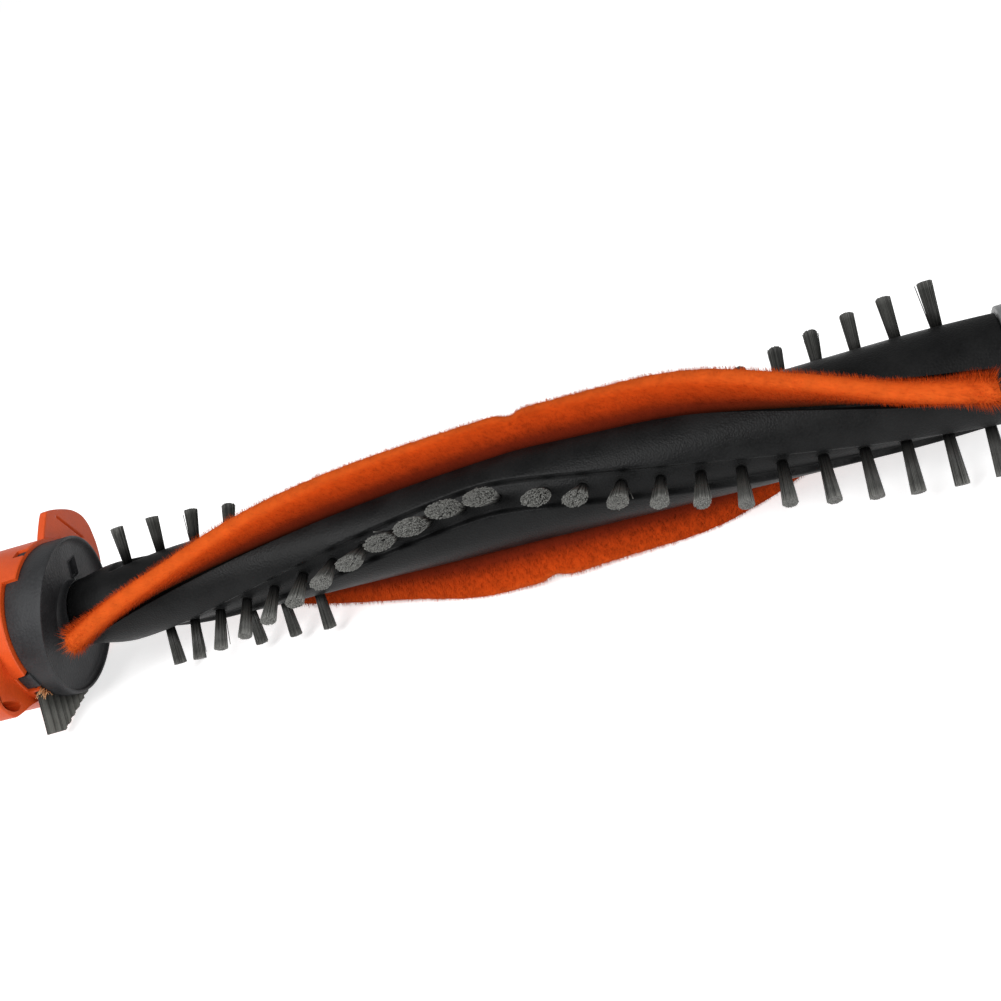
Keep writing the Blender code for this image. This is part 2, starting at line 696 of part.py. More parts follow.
def make_cap(look, collection, cutters, origin):
    """Cup with a central boss, a tongue, an ear, a lug and a flat."""
    profile = (
        (CAP_END, 0.0),
        (CAP_END, CAP_RADIUS - CAP_CORNER),
        (CAP_END + CAP_CORNER * 0.3, CAP_RADIUS - CAP_CORNER * 0.3),
        (CAP_END + CAP_CORNER, CAP_RADIUS),
        (CAP_LIP, CAP_RADIUS),
        (CAP_LIP, CAP_INNER_RADIUS),
        (CAP_FLOOR, CAP_INNER_RADIUS),
        (CAP_FLOOR, BOSS_RADIUS),
        (BOSS_FRONT, BOSS_RADIUS),
        (BOSS_FRONT, BUSH_SEAT_RADIUS),
        (BUSH_SEAT_END, BUSH_SEAT_RADIUS),
        (BUSH_SEAT_END, CLIP_POCKET_RADIUS),
        (CLIP_POCKET_END, CLIP_POCKET_RADIUS),
        (CLIP_POCKET_END, 0.0))
    cap = turned("end_cap", profile, ROUND_COUNT, look, collection, origin)
    tongue = sector("tongue", CAP_INNER_RADIUS + 0.1 * MM,
                    CAP_RADIUS - 0.1 * MM, TONGUE_ANGLES, TONGUE_FRONT,
                    CAP_LIP - OVERCUT, cutters)
    combine(cap, tongue, "UNION")
    ear = prism("ear", with_arc_root(EAR_OUTLINE, WING_ROOT_RADIUS),
                EAR_FRONT, EAR_BACK, None, cutters, joint_origin(0.0))
    combine(cap, ear, "UNION")
    lug = prism("lug", with_arc_root(LUG_OUTLINE, WING_ROOT_RADIUS),
                LUG_FRONT, LUG_BACK, None, cutters, joint_origin(0.0))
    combine(cap, lug, "UNION")
    groove = prism("ear_groove",
                   [(radius * MM, angle) for radius, angle in EAR_GROOVE],
                   EAR_FRONT + OVERCUT, EAR_FRONT - EAR_GROOVE_DEPTH, None,
                   cutters, joint_origin(0.0))
    combine(cap, groove, "DIFFERENCE")
    pocket = prism("lug_pocket",
                   [(radius * MM, angle) for radius, angle in LUG_POCKET],
                   LUG_FRONT + OVERCUT, LUG_FRONT - LUG_POCKET_DEPTH, None,
                   cutters, joint_origin(0.0))
    combine(cap, pocket, "DIFFERENCE")
    wide = (HOOK_ANGLES[0] - SIDE_GAP_DEG, HOOK_ANGLES[1] + SIDE_GAP_DEG)
    notch = sector("hook_notch", PLATE_SPIGOT_RADIUS + 0.15 * MM,
                   CAP_RADIUS + OVERCUT, wide, CAP_LIP + OVERCUT,
                   HOOK_END - FIT_GAP, cutters, 3)
    combine(cap, notch, "DIFFERENCE")
    reach = (BRUSH_ANGLES[0] - SIDE_GAP_DEG, BRUSH_ANGLES[1] + SIDE_GAP_DEG)
    gap = sector("brush_notch", PLATE_SPIGOT_RADIUS + 0.15 * MM,
                 CAP_RADIUS + OVERCUT, reach, CAP_LIP + OVERCUT,
                 BRUSH_BACK - FIT_GAP, cutters)
    combine(cap, gap, "DIFFERENCE")
    middle = (WALL_SLOT_FRONT + WALL_SLOT_BACK) * HALF
    slot = block("wall_slot",
                 on_roller(middle, WALL_SLOT_FLOOR + BIG_CUT * HALF * HALF,
                           WALL_SLOT_ANGLE),
                 (WALL_SLOT_FRONT - WALL_SLOT_BACK, WALL_SLOT_WIDTH,
                  BIG_CUT * HALF),
                 OPPOSITE * HALF - WALL_SLOT_ANGLE, cutters)
    combine(cap, slot, "DIFFERENCE")
    flat = block("flat_cut",
                 Vector((APEX_X + CAP_END, AXIS_Y, -BIG_CUT * HALF)),
                 (BIG_CUT * 2, BIG_CUT * 2, BIG_CUT), 0.0, cutters)
    combine(cap, flat, "DIFFERENCE")
    settle(cap, look)
    return cap


def brush_outline():
    """Stepped comb outline, from its arc root to its parallel tips."""
    outline = []
    start, end = BRUSH_ANGLES
    steps = BRUSH_FLUTES
    for step in range(steps + 1):
        outline.append((BRUSH_ROOT_RADIUS,
                        start + (end - start) * step / steps))
    sides = [BRUSH_SIDE_FRONT
             + (BRUSH_SIDE_REAR - BRUSH_SIDE_FRONT) * step / steps
             for step in range(steps + 1)]
    for step in range(steps):
        middle = (sides[step] + sides[step + 1]) * HALF
        reach = brush_reach(middle)
        for side in (sides[step], sides[step + 1]):
            outline.append((math.hypot(side, reach),
                            math.atan2(-reach, side) / DEG + BRUSH_LEAN))
    return outline


def brush_reach(side):
    """How far down the bristles reach at a place across the comb."""
    if side > BRUSH_SIDE_TOP:
        share = ((BRUSH_SIDE_FRONT - side)
                 / (BRUSH_SIDE_FRONT - BRUSH_SIDE_TOP))
        return BRUSH_REACH_FRONT + (BRUSH_REACH_TOP
                                    - BRUSH_REACH_FRONT) * share
    share = (BRUSH_SIDE_TOP - side) / (BRUSH_SIDE_TOP - BRUSH_SIDE_REAR)
    return BRUSH_REACH_TOP + (BRUSH_REACH_REAR - BRUSH_REACH_TOP) * share


def make_axle(look, collection, origin):
    profile = (
        (AXLE_END, 0.0),
        (AXLE_END, AXLE_RADIUS - AXLE_CHAMFER),
        (AXLE_END + AXLE_CHAMFER, AXLE_RADIUS),
        (GROOVE_BACK, AXLE_RADIUS),
        (GROOVE_BACK, GROOVE_RADIUS),
        (GROOVE_FRONT, GROOVE_RADIUS),
        (GROOVE_FRONT, AXLE_RADIUS),
        (AXLE_COLLAR_START, AXLE_RADIUS),
        (AXLE_COLLAR_START, AXLE_COLLAR_RADIUS),
        (AXLE_COLLAR_END, AXLE_COLLAR_RADIUS),
        (AXLE_COLLAR_END, AXLE_PLUG_RADIUS),
        (AXLE_PLUG_END - AXLE_CHAMFER, AXLE_PLUG_RADIUS),
        (AXLE_PLUG_END, AXLE_PLUG_RADIUS - AXLE_CHAMFER),
        (AXLE_PLUG_END, 0.0))
    return turned("stub_axle", profile, SMALL_ROUND_COUNT, look, collection,
                  origin)


def make_clip(look, collection, origin):
    """Open spring clip in the axle's groove."""
    start = CLIP_MOUTH_DEG * HALF
    end = OPPOSITE * 2 - start
    shares = [step / CLIP_STEPS for step in range(CLIP_STEPS + 1)]
    outline = [(CLIP_OUTER, start + (end - start) * share) for share in shares]
    outline += [(CLIP_INNER, end + (start - end) * share) for share in shares]
    return prism("retaining_clip", outline, CLIP_FRONT, CLIP_BACK, look,
                 collection, origin)


def make_socket(look, collection, cutters, origin):
    profile = (
        (SOCKET_PLUG_START, 0.0),
        (SOCKET_PLUG_START, SOCKET_PLUG_RADIUS - AXLE_CHAMFER),
        (SOCKET_PLUG_START + AXLE_CHAMFER, SOCKET_PLUG_RADIUS),
        (SOCKET_FLANGE_START, SOCKET_PLUG_RADIUS),
        (SOCKET_FLANGE_START, SOCKET_FLANGE_RADIUS),
        (SOCKET_FLANGE_END - RING_EDGE, SOCKET_FLANGE_RADIUS),
        (SOCKET_FLANGE_END, SOCKET_FLANGE_RADIUS - RING_EDGE),
        (SOCKET_FLANGE_END, 0.0))
    socket = turned("drive_socket", profile, SMALL_ROUND_COUNT, look,
                    collection, origin)
    sides = [OPPOSITE * 2 * index / SOCKET_HOLE_SIDES
             for index in range(SOCKET_HOLE_SIDES)]
    hole = prism("socket_hole", [(SOCKET_HOLE_RADIUS, angle) for angle in sides],
                 SOCKET_FLANGE_END + OVERCUT,
                 SOCKET_FLANGE_END - SOCKET_HOLE_DEPTH, None, cutters,
                 joint_origin(0.0))
    combine(socket, hole, "DIFFERENCE")
    settle(socket, look)
    return socket


def main():
    for thing in list(bpy.data.objects):
        bpy.data.objects.remove(thing, do_unlink=True)
    scene = bpy.context.scene
    parts = bpy.data.collections.new("vacuum_roller_brush")
    cutters = bpy.data.collections.new("cutters")
    scene.collection.children.link(parts)
    scene.collection.children.link(cutters)

    black = material("charcoal_plastic", (0.035, 0.037, 0.038), 0.5)
    plate_black = material("black_plastic", (0.045, 0.047, 0.05), 0.45)
    orange = material("orange_plastic", (0.78, 0.11, 0.012), 0.38)
    pile = material("orange_pile", (0.82, 0.13, 0.01), 0.95)
    bristle = material("grey_bristle", (0.06, 0.06, 0.052), 0.6)
    steel = material("axle_steel", (0.62, 0.62, 0.63), 0.3, 1.0)
    bronze = material("bush_bronze", (0.5, 0.33, 0.16), 0.4, 1.0)
    nylon = material("washer_nylon", (0.75, 0.74, 0.7), 0.5)
    light = material("light_grey_plastic", (0.5, 0.51, 0.52), 0.45)

    fixed = joint_origin(BUSH_END)
    moving = joint_origin(AXLE_COLLAR_START)

    make_core(black, parts, cutters, moving)
    make_axle(steel, parts, moving)
    make_clip(steel, parts, moving)
    turned("drive_end_ring", (
        (RING_START, RING_INNER),
        (RING_START, RING_RADIUS - RING_EDGE),
        (RING_START + RING_EDGE, RING_RADIUS),
        (RING_END - RING_EDGE, RING_RADIUS),
        (RING_END, RING_RADIUS - RING_EDGE),
        (RING_END, RING_INNER)), ROUND_COUNT, light, parts, moving)
    make_socket(plate_black, parts, cutters, moving)

    pile_middle = FIT_GAP * HALF
    for number, turn in (("front", OPPOSITE), ("rear", 0.0)):
        pile_strip("pile_strip_left_" + number, PILE_START, -pile_middle,
                   turn, pile, parts, moving)
        pile_strip("pile_strip_right_" + number, pile_middle, PILE_END,
                   turn, pile, parts, moving)

    rows = (("bristle_row_a_left", ROW_A_LEFT_FIRST, ROW_A_LEFT_COUNT, 0.0),
            ("bristle_row_a_right", ROW_A_RIGHT_FIRST, ROW_A_RIGHT_COUNT, 0.0),
            ("bristle_row_b_left", ROW_B_LEFT_FIRST, ROW_B_LEFT_COUNT,
             OPPOSITE),
            ("bristle_row_b_right", ROW_B_RIGHT_FIRST, ROW_B_RIGHT_COUNT,
             OPPOSITE))
    for name, first, count, turn in rows:
        bristle_row(name, tuft_stations(first, count, TUFT_PITCH),
                    lambda station, turn=turn: row_line(station) + turn,
                    channel_floor, bristle, parts, moving)
    bristle_row("short_row", tuft_stations(SHORT_ROW_FIRST, SHORT_ROW_COUNT,
                                           SHORT_ROW_PITCH),
                lambda station: SHORT_ROW_ANGLE + OPPOSITE,
                lambda station: short_floor(), bristle, parts, moving)
    turned("clip_washer", (
        (CLIP_WASHER_BACK, AXLE_RADIUS + FIT_GAP),
        (CLIP_WASHER_BACK, CLIP_WASHER_RADIUS),
        (CLIP_WASHER_FRONT, CLIP_WASHER_RADIUS),
        (CLIP_WASHER_FRONT, AXLE_RADIUS + FIT_GAP)), SMALL_ROUND_COUNT,
        steel, parts, moving)

    make_cap(orange, parts, cutters, fixed)
    make_plate(plate_black, parts, cutters, fixed)
    prism("edge_brush", brush_outline(), BRUSH_FRONT, BRUSH_BACK, bristle,
          parts, fixed)
    turned("bearing_bush", (
        (BUSH_END, AXLE_RADIUS + FIT_GAP),
        (BUSH_END, BUSH_RADIUS),
        (BUSH_FLANGE_BACK, BUSH_RADIUS),
        (BUSH_FLANGE_BACK, BUSH_FLANGE_RADIUS),
        (BUSH_FLANGE_FRONT, BUSH_FLANGE_RADIUS),
        (BUSH_FLANGE_FRONT, AXLE_RADIUS + FIT_GAP)), SMALL_ROUND_COUNT,
        bronze, parts, fixed)
    turned("thrust_washer", (
        (WASHER_BACK, AXLE_RADIUS + FIT_GAP),
        (WASHER_BACK, WASHER_RADIUS),
        (WASHER_FRONT, WASHER_RADIUS),
        (WASHER_FRONT, AXLE_RADIUS + FIT_GAP)), SMALL_ROUND_COUNT,
        nylon, parts, fixed)


main()
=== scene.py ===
import bmesh
import bpy
import numpy as np
from mathutils import Matrix, Vector


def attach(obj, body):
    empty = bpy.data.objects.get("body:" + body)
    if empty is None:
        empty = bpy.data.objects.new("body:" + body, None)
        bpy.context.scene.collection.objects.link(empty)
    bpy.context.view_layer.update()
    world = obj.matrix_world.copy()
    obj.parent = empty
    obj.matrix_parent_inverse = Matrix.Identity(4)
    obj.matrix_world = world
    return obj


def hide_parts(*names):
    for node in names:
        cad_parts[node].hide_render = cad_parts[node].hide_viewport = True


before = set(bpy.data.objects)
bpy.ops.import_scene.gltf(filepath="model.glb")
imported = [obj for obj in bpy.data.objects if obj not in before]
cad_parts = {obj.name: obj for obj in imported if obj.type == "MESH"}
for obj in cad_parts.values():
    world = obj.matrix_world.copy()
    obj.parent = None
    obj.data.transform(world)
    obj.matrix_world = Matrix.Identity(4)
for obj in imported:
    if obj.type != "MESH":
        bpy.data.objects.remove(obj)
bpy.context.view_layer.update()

# Vacuum roller brush: a tapered core with pile strips and rows of tufts, all
# laid as Vs, turns in an end cap that holds a dished plate and an edge brush.
#
# The brush lies with its axis along X. Stations run along the axis from the
# point of the V, in millimetres, and clocks are degrees round the axis, from
# the front (-Y) upwards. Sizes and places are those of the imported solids.
MM = 0.001
APEX = np.array([21.5, -0.17, 23.35])   # the point of the V, on the axis
TAPER = 0.000695                        # growth for each millimetre

# Radii at the point of the V
LAND = 12.9
FLOOR = 11.3
PILE_SEAT = 11.3
PILE_TIP = 22.8
TUFT_TIP = 23.5
BORE = 6.6

# First and last stations
CORE_ENDS = (-139.8, 121.8)
CHANNEL_ENDS = (-125.0, 124.4)
SEAT_ENDS = (-138.1, 117.4)
PILE_ENDS = (-137.6, 116.9)

# Two arms of each V, as the clock at its point, its slope and its bend, and
# the softness of the point
ROW_ARMS = ((45.7, 0.359, -0.004686), (36.3, -0.7825, 0.0), 4.0)
PILE_ARMS = ((117.0, 0.3465, -0.00295), (118.0, -0.83, 0.0), 2.0)
# Bows of the pile's V: degrees, middle and half length
PILE_BOWS = ((11.5, 43.0, 25.0), (-3.0, 98.0, 13.0), (-5.0, -138.0, 16.0))

# Rows of tufts: name, first station, number, and turn round the axis
TUFT_PITCH = 9.87
TUFT_ROWS = (("a_left", -115.0, 12, 0.0), ("a_right", 6.4, 12, 0.0),
             ("b_left", -121.5, 13, 180.0), ("b_right", 10.4, 11, 180.0))
SHORT_ROW = (-89.3, 10.9, 3, 295.0)     # first, pitch, number and clock

SEED = 20


# The camera, at the photograph's place

LENS, SENSOR = 46.32, 36.0
CAMERA_AXES = np.array([(0.92961, 0.07376, -0.36107),
                        (0.24835, 0.59850, 0.76162),
                        (0.27229, -0.79772, 0.53807)])
CAMERA_PLACE = np.array([-8.1094, -2.0087, 342.4796])


def place_camera():
    """Pinhole camera. Its axes are right, up and back, and its place is
    measured along them from the point of the V."""
    spot = APEX + CAMERA_PLACE @ CAMERA_AXES
    data = bpy.data.cameras.new("camera")
    data.lens = LENS
    data.sensor_width = SENSOR
    data.clip_start = 0.01
    camera = bpy.data.objects.new("camera", data)
    turn = Matrix(CAMERA_AXES).transposed().to_4x4()
    camera.matrix_world = Matrix.Translation(Vector(spot * MM)) @ turn
    bpy.context.scene.collection.objects.link(camera)
    bpy.context.scene.camera = camera


# Places on the roller

def on_roller(station, radius, clock):
    """x is the apex plus the station, and y and z go round the axis."""
    station, radius, clock = np.broadcast_arrays(station, radius, clock)
    turn = np.radians(clock)
    return np.stack([APEX[0] + station,
                     APEX[1] - radius * np.cos(turn),
                     APEX[2] + radius * np.sin(turn)], axis=-1)


def outward(clock):
    """Unit vector straight out from the axis at a clock."""
    turn = np.radians(clock)
    return np.stack([np.zeros_like(turn), -np.cos(turn), np.sin(turn)], -1)


def sideways(clock):
    """Unit vector round the axis, in the sense of a growing clock."""
    turn = np.radians(clock)
    return np.stack([np.zeros_like(turn), np.sin(turn), np.cos(turn)], -1)


def across_axis(radius, clock):
    """Point of the plane square to the axis: forward, then up."""
    turn = np.radians(clock)
    return radius * np.array([np.cos(turn), np.sin(turn)])


def beside(way):
    """Direction of that plane, a quarter turn on."""
    return np.array([-way[1], way[0]])


def taper(station):
    """Straight taper: one at the point of the V."""
    return 1.0 + TAPER * station


def arm(station, value, slope, bend):
    """Straight line, bent by a square towards the narrow end."""
    inward = np.minimum(station, 0.0)
    return value + slope * station + bend * inward ** 2


def v_line(station, arms):
    """Soft minimum of two arms, so the point of the V is rounded."""
    low, high = arm(station, *arms[0]), arm(station, *arms[1])
    return -arms[2] * np.logaddexp(-low / arms[2], -high / arms[2])


def row_line(station):
    """Clock of the front row of tufts."""
    return v_line(station, ROW_ARMS)


def hump(value, middle, half):
    """Bell that is one at the middle: exp(-((value - middle) / half) ^ 2)."""
    return np.exp(-((value - middle) / half) ** 2)


def humps(station, table):
    """Sum of bells, each given by its size, its middle and its half."""
    return sum(size * hump(station, middle, half)
               for size, middle, half in table)


def pile_line(station):
    """Clock of the rear pile strip: the arms of the V with soft bows. The
    wide arm stays high past its middle, and both free ends turn down."""
    return v_line(station, PILE_ARMS) + humps(station, PILE_BOWS)


def ease(value, start, end):
    """Smooth step from 0 at start to 1 at end."""
    share = np.clip((value - start) / (end - start), 0.0, 1.0)
    return share * share * (3.0 - 2.0 * share)


# Mesh making

def add_piece(name, points, faces, look, body, stands_for=(),
              marks=None, sharp=38.0, recount=True, lowest=0.0):
    """Object from points in millimetres and arrays of faces. No point goes
    below the lowest height, and marks are named numbers kept at each point
    for the material."""
    points = np.array(points).reshape(-1, 3)
    points[:, 2] = np.maximum(points[:, 2], lowest)
    mesh = bpy.data.meshes.new(name)
    faces = [np.asarray(group, np.int32) for group in faces if len(group)]
    corners = np.concatenate([group.ravel() for group in faces])
    sizes = np.concatenate([np.full(len(group), group.shape[1])
                            for group in faces])
    starts = np.concatenate(([0], np.cumsum(sizes)[:-1])).astype(np.int32)
    mesh.vertices.add(len(points))
    mesh.vertices.foreach_set("co", (points * MM).astype(np.float32).ravel())
    mesh.loops.add(len(corners))
    mesh.loops.foreach_set("vertex_index", corners)
    mesh.polygons.add(len(sizes))
    mesh.polygons.foreach_set("loop_start", starts)
    mesh.update(calc_edges=True)
    if recount:
        bm = bmesh.new()
        bm.from_mesh(mesh)
        bmesh.ops.remove_doubles(bm, verts=bm.verts, dist=0.000002)
        bmesh.ops.recalc_face_normals(bm, faces=bm.faces)
        bm.to_mesh(mesh)
        bm.free()
    for mark, values in (marks or {}).items():
        layer = mesh.attributes.new(mark, "FLOAT", "POINT")
        layer.data.foreach_set("value", values.astype(np.float32).ravel())
    mesh.materials.append(look)
    mesh.shade_smooth()
    if sharp:
        mesh.set_sharp_from_angle(angle=np.radians(sharp))
    piece = bpy.data.objects.new(name, mesh)
    bpy.context.scene.collection.objects.link(piece)
    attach(piece, body)
    if stands_for:
        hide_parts(*stands_for)


def add_strands(name, points, faces, look, body, stands_for, along,
                pick, lowest):
    """Piece of strands or spikes, with its marks."""
    add_piece(name, points, faces, look, body, stands_for,
              {"along": along, "pick": pick}, 0, False, lowest)


def cells(rows, columns, around=True, loop=False, start=0):
    """Faces between the points of a grid, wrapped round its columns, and
    round its rows too for a loop."""
    row, column = np.meshgrid(np.arange(rows if loop else rows - 1),
                              np.arange(columns if around else columns - 1),
                              indexing="ij")
    below, beside = (row + 1) % rows, (column + 1) % columns
    return start + np.stack([row * columns + column, below * columns + column,
                             below * columns + beside, row * columns + beside],
                            axis=-1).reshape(-1, 4)


def corners_round(way):
    """Three unit vectors round each direction, square to it and a third of
    a turn apart."""
    along = way / np.linalg.norm(way, axis=1, keepdims=True)
    helper = np.where(np.abs(along[:, :1]) < 0.8, [[1.0, 0.0, 0.0]],
                      [[0.0, 1.0, 0.0]])
    side = np.cross(along, helper)
    side /= np.linalg.norm(side, axis=1, keepdims=True)
    other = np.cross(along, side)
    turn = np.arange(3) * 2.0 * np.pi / 3.0
    return (side[:, None] * np.cos(turn)[None, :, None]
            + other[:, None] * np.sin(turn)[None, :, None])


def spikes(roots, tips, thick):
    """Straight three-sided spikes, thick at the root and a point at the
    tip. Gives points, faces, and 0 at each root point and 1 at each tip."""
    base = roots[:, None] + corners_round(tips - roots) * thick
    points = np.concatenate([base, tips[:, None]], 1)
    first = np.arange(len(roots))[:, None, None] * 4
    sides = np.array([[2, 1, 0], [0, 1, 3], [1, 2, 3], [2, 0, 3]])
    return (points.reshape(-1, 3), [(first + sides).reshape(-1, 3)],
            np.tile([0.0, 0.0, 0.0, 1.0], len(roots)))


def strands(roots, tips, bows, thick, steps):
    """Thin three-sided strands. A centre line is
    root + (tip - root) t + 4 bow t (1 - t), and its half thickness runs from
    thick[0] to thick[1]. Gives points, faces, and t at each point."""
    count = len(roots)
    t = np.linspace(0.0, 1.0, steps + 1)
    line = (roots[:, None] + (tips - roots)[:, None] * t[None, :, None]
            + bows[:, None] * (4.0 * t * (1.0 - t))[None, :, None])
    ring = corners_round(tips - roots)
    half = thick[0] + (thick[1] - thick[0]) * t
    points = line[:, :, None] + ring[:, None] * half[None, :, None, None]
    first = np.arange(count)[:, None, None] * (steps + 1) * 3
    level, corner = np.meshgrid(np.arange(steps), np.arange(3), indexing="ij")
    follow = (corner + 1) % 3
    quad = np.stack([level * 3 + corner, level * 3 + follow,
                     level * 3 + 3 + follow, level * 3 + 3 + corner], -1)
    quads = (first + quad.reshape(1, -1, 4)).reshape(-1, 4)
    last = steps * 3
    ends = np.array([[last, last + 1, last + 2], [2, 1, 0]])
    threes = (first + ends[None]).reshape(-1, 3)
    marks = np.broadcast_to(t[None, :, None], (count, steps + 1, 3))
    return points.reshape(-1, 3), [quads, threes], marks.reshape(-1)


# Materials

def feed(tree, node, values):
    """Gives a node's inputs, by name or number, a value or a socket."""
    for label, value in values.items():
        if isinstance(value, bpy.types.NodeSocket):
            tree.links.new(value, node.inputs[label])
        else:
            node.inputs[label].default_value = value


def new_node(tree, kind, values):
    """Shader node with its inputs fed."""
    node = tree.nodes.new("ShaderNode" + kind)
    feed(tree, node, values)
    return node


def maths(tree, operation, *values):
    """Math node: a number or a socket for each of its values."""
    node = tree.nodes.new("ShaderNodeMath")
    node.operation = operation
    feed(tree, node, dict(enumerate(values)))
    return node.outputs[0]


def noise(tree, coords, scale, detail, roughness):
    """Noise at the coordinates."""
    node = new_node(tree, "TexNoise", {
        "Vector": coords, "Scale": scale, "Detail": detail,
        "Roughness": roughness})
    return node.outputs["Fac"]


def point_mark(tree, name):
    """Number kept at each point under a name."""
    node = tree.nodes.new("ShaderNodeAttribute")
    node.attribute_name = name
    return node.outputs["Fac"]


def object_place(tree):
    """Coordinates in metres, in the object's own axes."""
    return tree.nodes.new("ShaderNodeTexCoord").outputs["Object"]


def make_grain_group():
    """Moulded skin: fine pits from a cell pattern and a noise, and a shade
    that drifts with the noise and with long soft waves."""
    group = bpy.data.node_groups.new("moulded_grain", "ShaderNodeTree")
    for label, way in (("Grain", "INPUT"), ("Height", "OUTPUT"),
                       ("Shade", "OUTPUT")):
        group.interface.new_socket(name=label, in_out=way,
                                   socket_type="NodeSocketFloat")
    grain = group.nodes.new("NodeGroupInput").outputs["Grain"]
    place = object_place(group)
    pits = new_node(group, "TexVoronoi", {"Vector": place, "Scale": grain})
    fine = noise(group, place, grain, 2.0, 0.6)
    wave = noise(group, place, 120.0, 2.0, 0.5)
    feed(group, group.nodes.new("NodeGroupOutput"), {
        "Height": maths(group, "MULTIPLY_ADD", fine, 0.6,
                        pits.outputs["Distance"]),
        "Shade": maths(group, "MULTIPLY_ADD", fine, 0.4,
                       maths(group, "MULTIPLY", wave, 0.6))})
    return group


def colour_ramp(tree, value, stops):
    """Ramp from a value to colours; stops are (place, colour)."""
    node = tree.nodes.new("ShaderNodeValToRGB")
    ramp = node.color_ramp
    while len(ramp.elements) < len(stops):
        ramp.elements.new(0.5)
    for element, (place, colour) in zip(ramp.elements, stops):
        element.position = place
        element.color = (*colour, 1.0)
    tree.links.new(value, node.inputs["Fac"])
    return node.outputs["Color"]


SHADE = (0.35, 0.65)       # range of the grain's shade that the eye sees
GRAIN_DEPTH = 0.08 * MM


def new_look(name):
    """Material. Gives it, its node tree and its main shader."""
    look = bpy.data.materials.new(name)
    look.use_nodes = True
    return look, look.node_tree, look.node_tree.nodes["Principled BSDF"]


def moulded(name, grain, dark, light, rough, bump, grain_scale=2200.0,
            gloss=0.5, metal=0.0):
    """Moulded or turned finish: colour and roughness run between their two
    ends with the grain's shade, and the grain's height is a fine relief."""
    look, tree, shader = new_look(name)
    skin = tree.nodes.new("ShaderNodeGroup")
    skin.node_tree = grain
    feed(tree, skin, {"Grain": grain_scale})
    shade = skin.outputs["Shade"]
    spread = new_node(tree, "MapRange", {
        "Value": shade, "From Min": SHADE[0], "From Max": SHADE[1],
        "To Min": rough[0], "To Max": rough[1]})
    relief = new_node(tree, "Bump", {
        "Height": skin.outputs["Height"], "Distance": GRAIN_DEPTH,
        "Strength": bump})
    feed(tree, shader, {
        "Base Color": colour_ramp(tree, shade, ((SHADE[0], dark),
                                                (SHADE[1], light))),
        "Roughness": spread.outputs["Result"],
        "Normal": relief.outputs["Normal"],
        "Specular IOR Level": gloss, "Metallic": metal})
    return look


def fibrous(name, stops, pick_shade, rough, gloss, sheen=0.0,
            sheen_tint=(1.0, 1.0, 1.0)):
    """Fibres: the colour runs from root to tip along the stops. It is scaled
    by each strand's pick mark, one plus or minus half of pick_shade, and by
    soft patches from three quarters to five quarters. The pick mark is a
    random tone, and for the edge brush also painted shade between its flutes."""
    look, tree, shader = new_look(name)
    patch = noise(tree, object_place(tree), 260.0, 3.0, 0.6)
    amount = maths(tree, "MULTIPLY_ADD", point_mark(tree, "pick"), pick_shade,
                   1.0 - pick_shade * 0.5)
    amount = maths(tree, "MULTIPLY", amount,
                   maths(tree, "MULTIPLY_ADD", patch, 0.5, 0.75))
    scale = tree.nodes.new("ShaderNodeVectorMath")
    scale.operation = "SCALE"
    feed(tree, scale, {
        0: colour_ramp(tree, point_mark(tree, "along"), stops),
        "Scale": amount})
    feed(tree, shader, {
        "Base Color": scale.outputs["Vector"], "Roughness": rough,
        "Specular IOR Level": gloss, "Sheen Weight": sheen,
        "Sheen Tint": (*sheen_tint, 1.0)})
    return look


# The core

def both_sides(half):
    """Table from the middle outwards, with its mirror image before it."""
    half = np.array(half)
    return np.concatenate([half[:0:-1] * (-1.0, 1.0), half])


# Distance across the channel or the seat, and the share of its depth there
CHANNEL = both_sides([(0.0, 1.0), (1.0, 1.0), (2.0, 1.0), (3.0, 1.0),
                      (3.45, 0.98), (3.75, 0.9), (3.95, 0.68), (4.15, 0.3),
                      (4.4, 0.07), (4.7, 0.0)])
SEAT = both_sides([(0.0, 1.0), (3.0, 1.0), (3.2, 0.9), (3.5, 0.15),
                   (3.65, 0.0)])
NECK_START = -122.0        # where the core starts to narrow to the plate
NECKING = 1.75
THIN_RADIUS = 9.75         # no seat goes deeper than this
SKIN_EDGE = 0.4            # rounding of both end edges


def core_half(station, turn):
    """Clocks and radii from one tuft channel to the next. A channel or seat
    lowers the land by its own share of the drop at each offset from its V
    line, and plain land fills the arcs between."""
    station = station[:, None]
    land = (LAND * taper(station)
            - NECKING * ease(station, NECK_START, CORE_ENDS[0]) ** 2)
    open_row = (ease(station, CHANNEL_ENDS[0] - 0.6, CHANNEL_ENDS[0] + 1.4)
                * ease(station, CHANNEL_ENDS[1] + 0.6, CHANNEL_ENDS[1] - 1.4))
    open_seat = (ease(station, SEAT_ENDS[0] - 0.5, SEAT_ENDS[0])
                 * ease(station, SEAT_ENDS[1] + 0.5, SEAT_ENDS[1]))
    row, pile = row_line(station) + turn, pile_line(station) + turn
    channel_clock = row + np.degrees(CHANNEL[None, :, 0] / land)
    channel = land - (LAND - FLOOR) * taper(station) * open_row * CHANNEL[:, 1]
    seat_clock = pile + np.degrees(SEAT[None, :, 0] / land)
    seat = np.maximum(land - (LAND - PILE_SEAT) * taper(station)
                      * open_seat * SEAT[:, 1], THIN_RADIUS)
    next_row = row + 180.0 + np.degrees(CHANNEL[0, 0] / land)
    near = np.linspace(0.0, 1.0, 20)[None, 1:-1]
    far = np.linspace(0.0, 1.0, 36)[None, 1:-1]
    first = channel_clock[:, -1:] + (seat_clock[:, :1]
                                     - channel_clock[:, -1:]) * near
    second = seat_clock[:, -1:] + (next_row - seat_clock[:, -1:]) * far
    clocks = np.concatenate([channel_clock, first, seat_clock, second], 1)
    radii = np.concatenate([channel, np.broadcast_to(land, first.shape),
                            seat, np.broadcast_to(land, second.shape)], 1)
    return clocks, radii


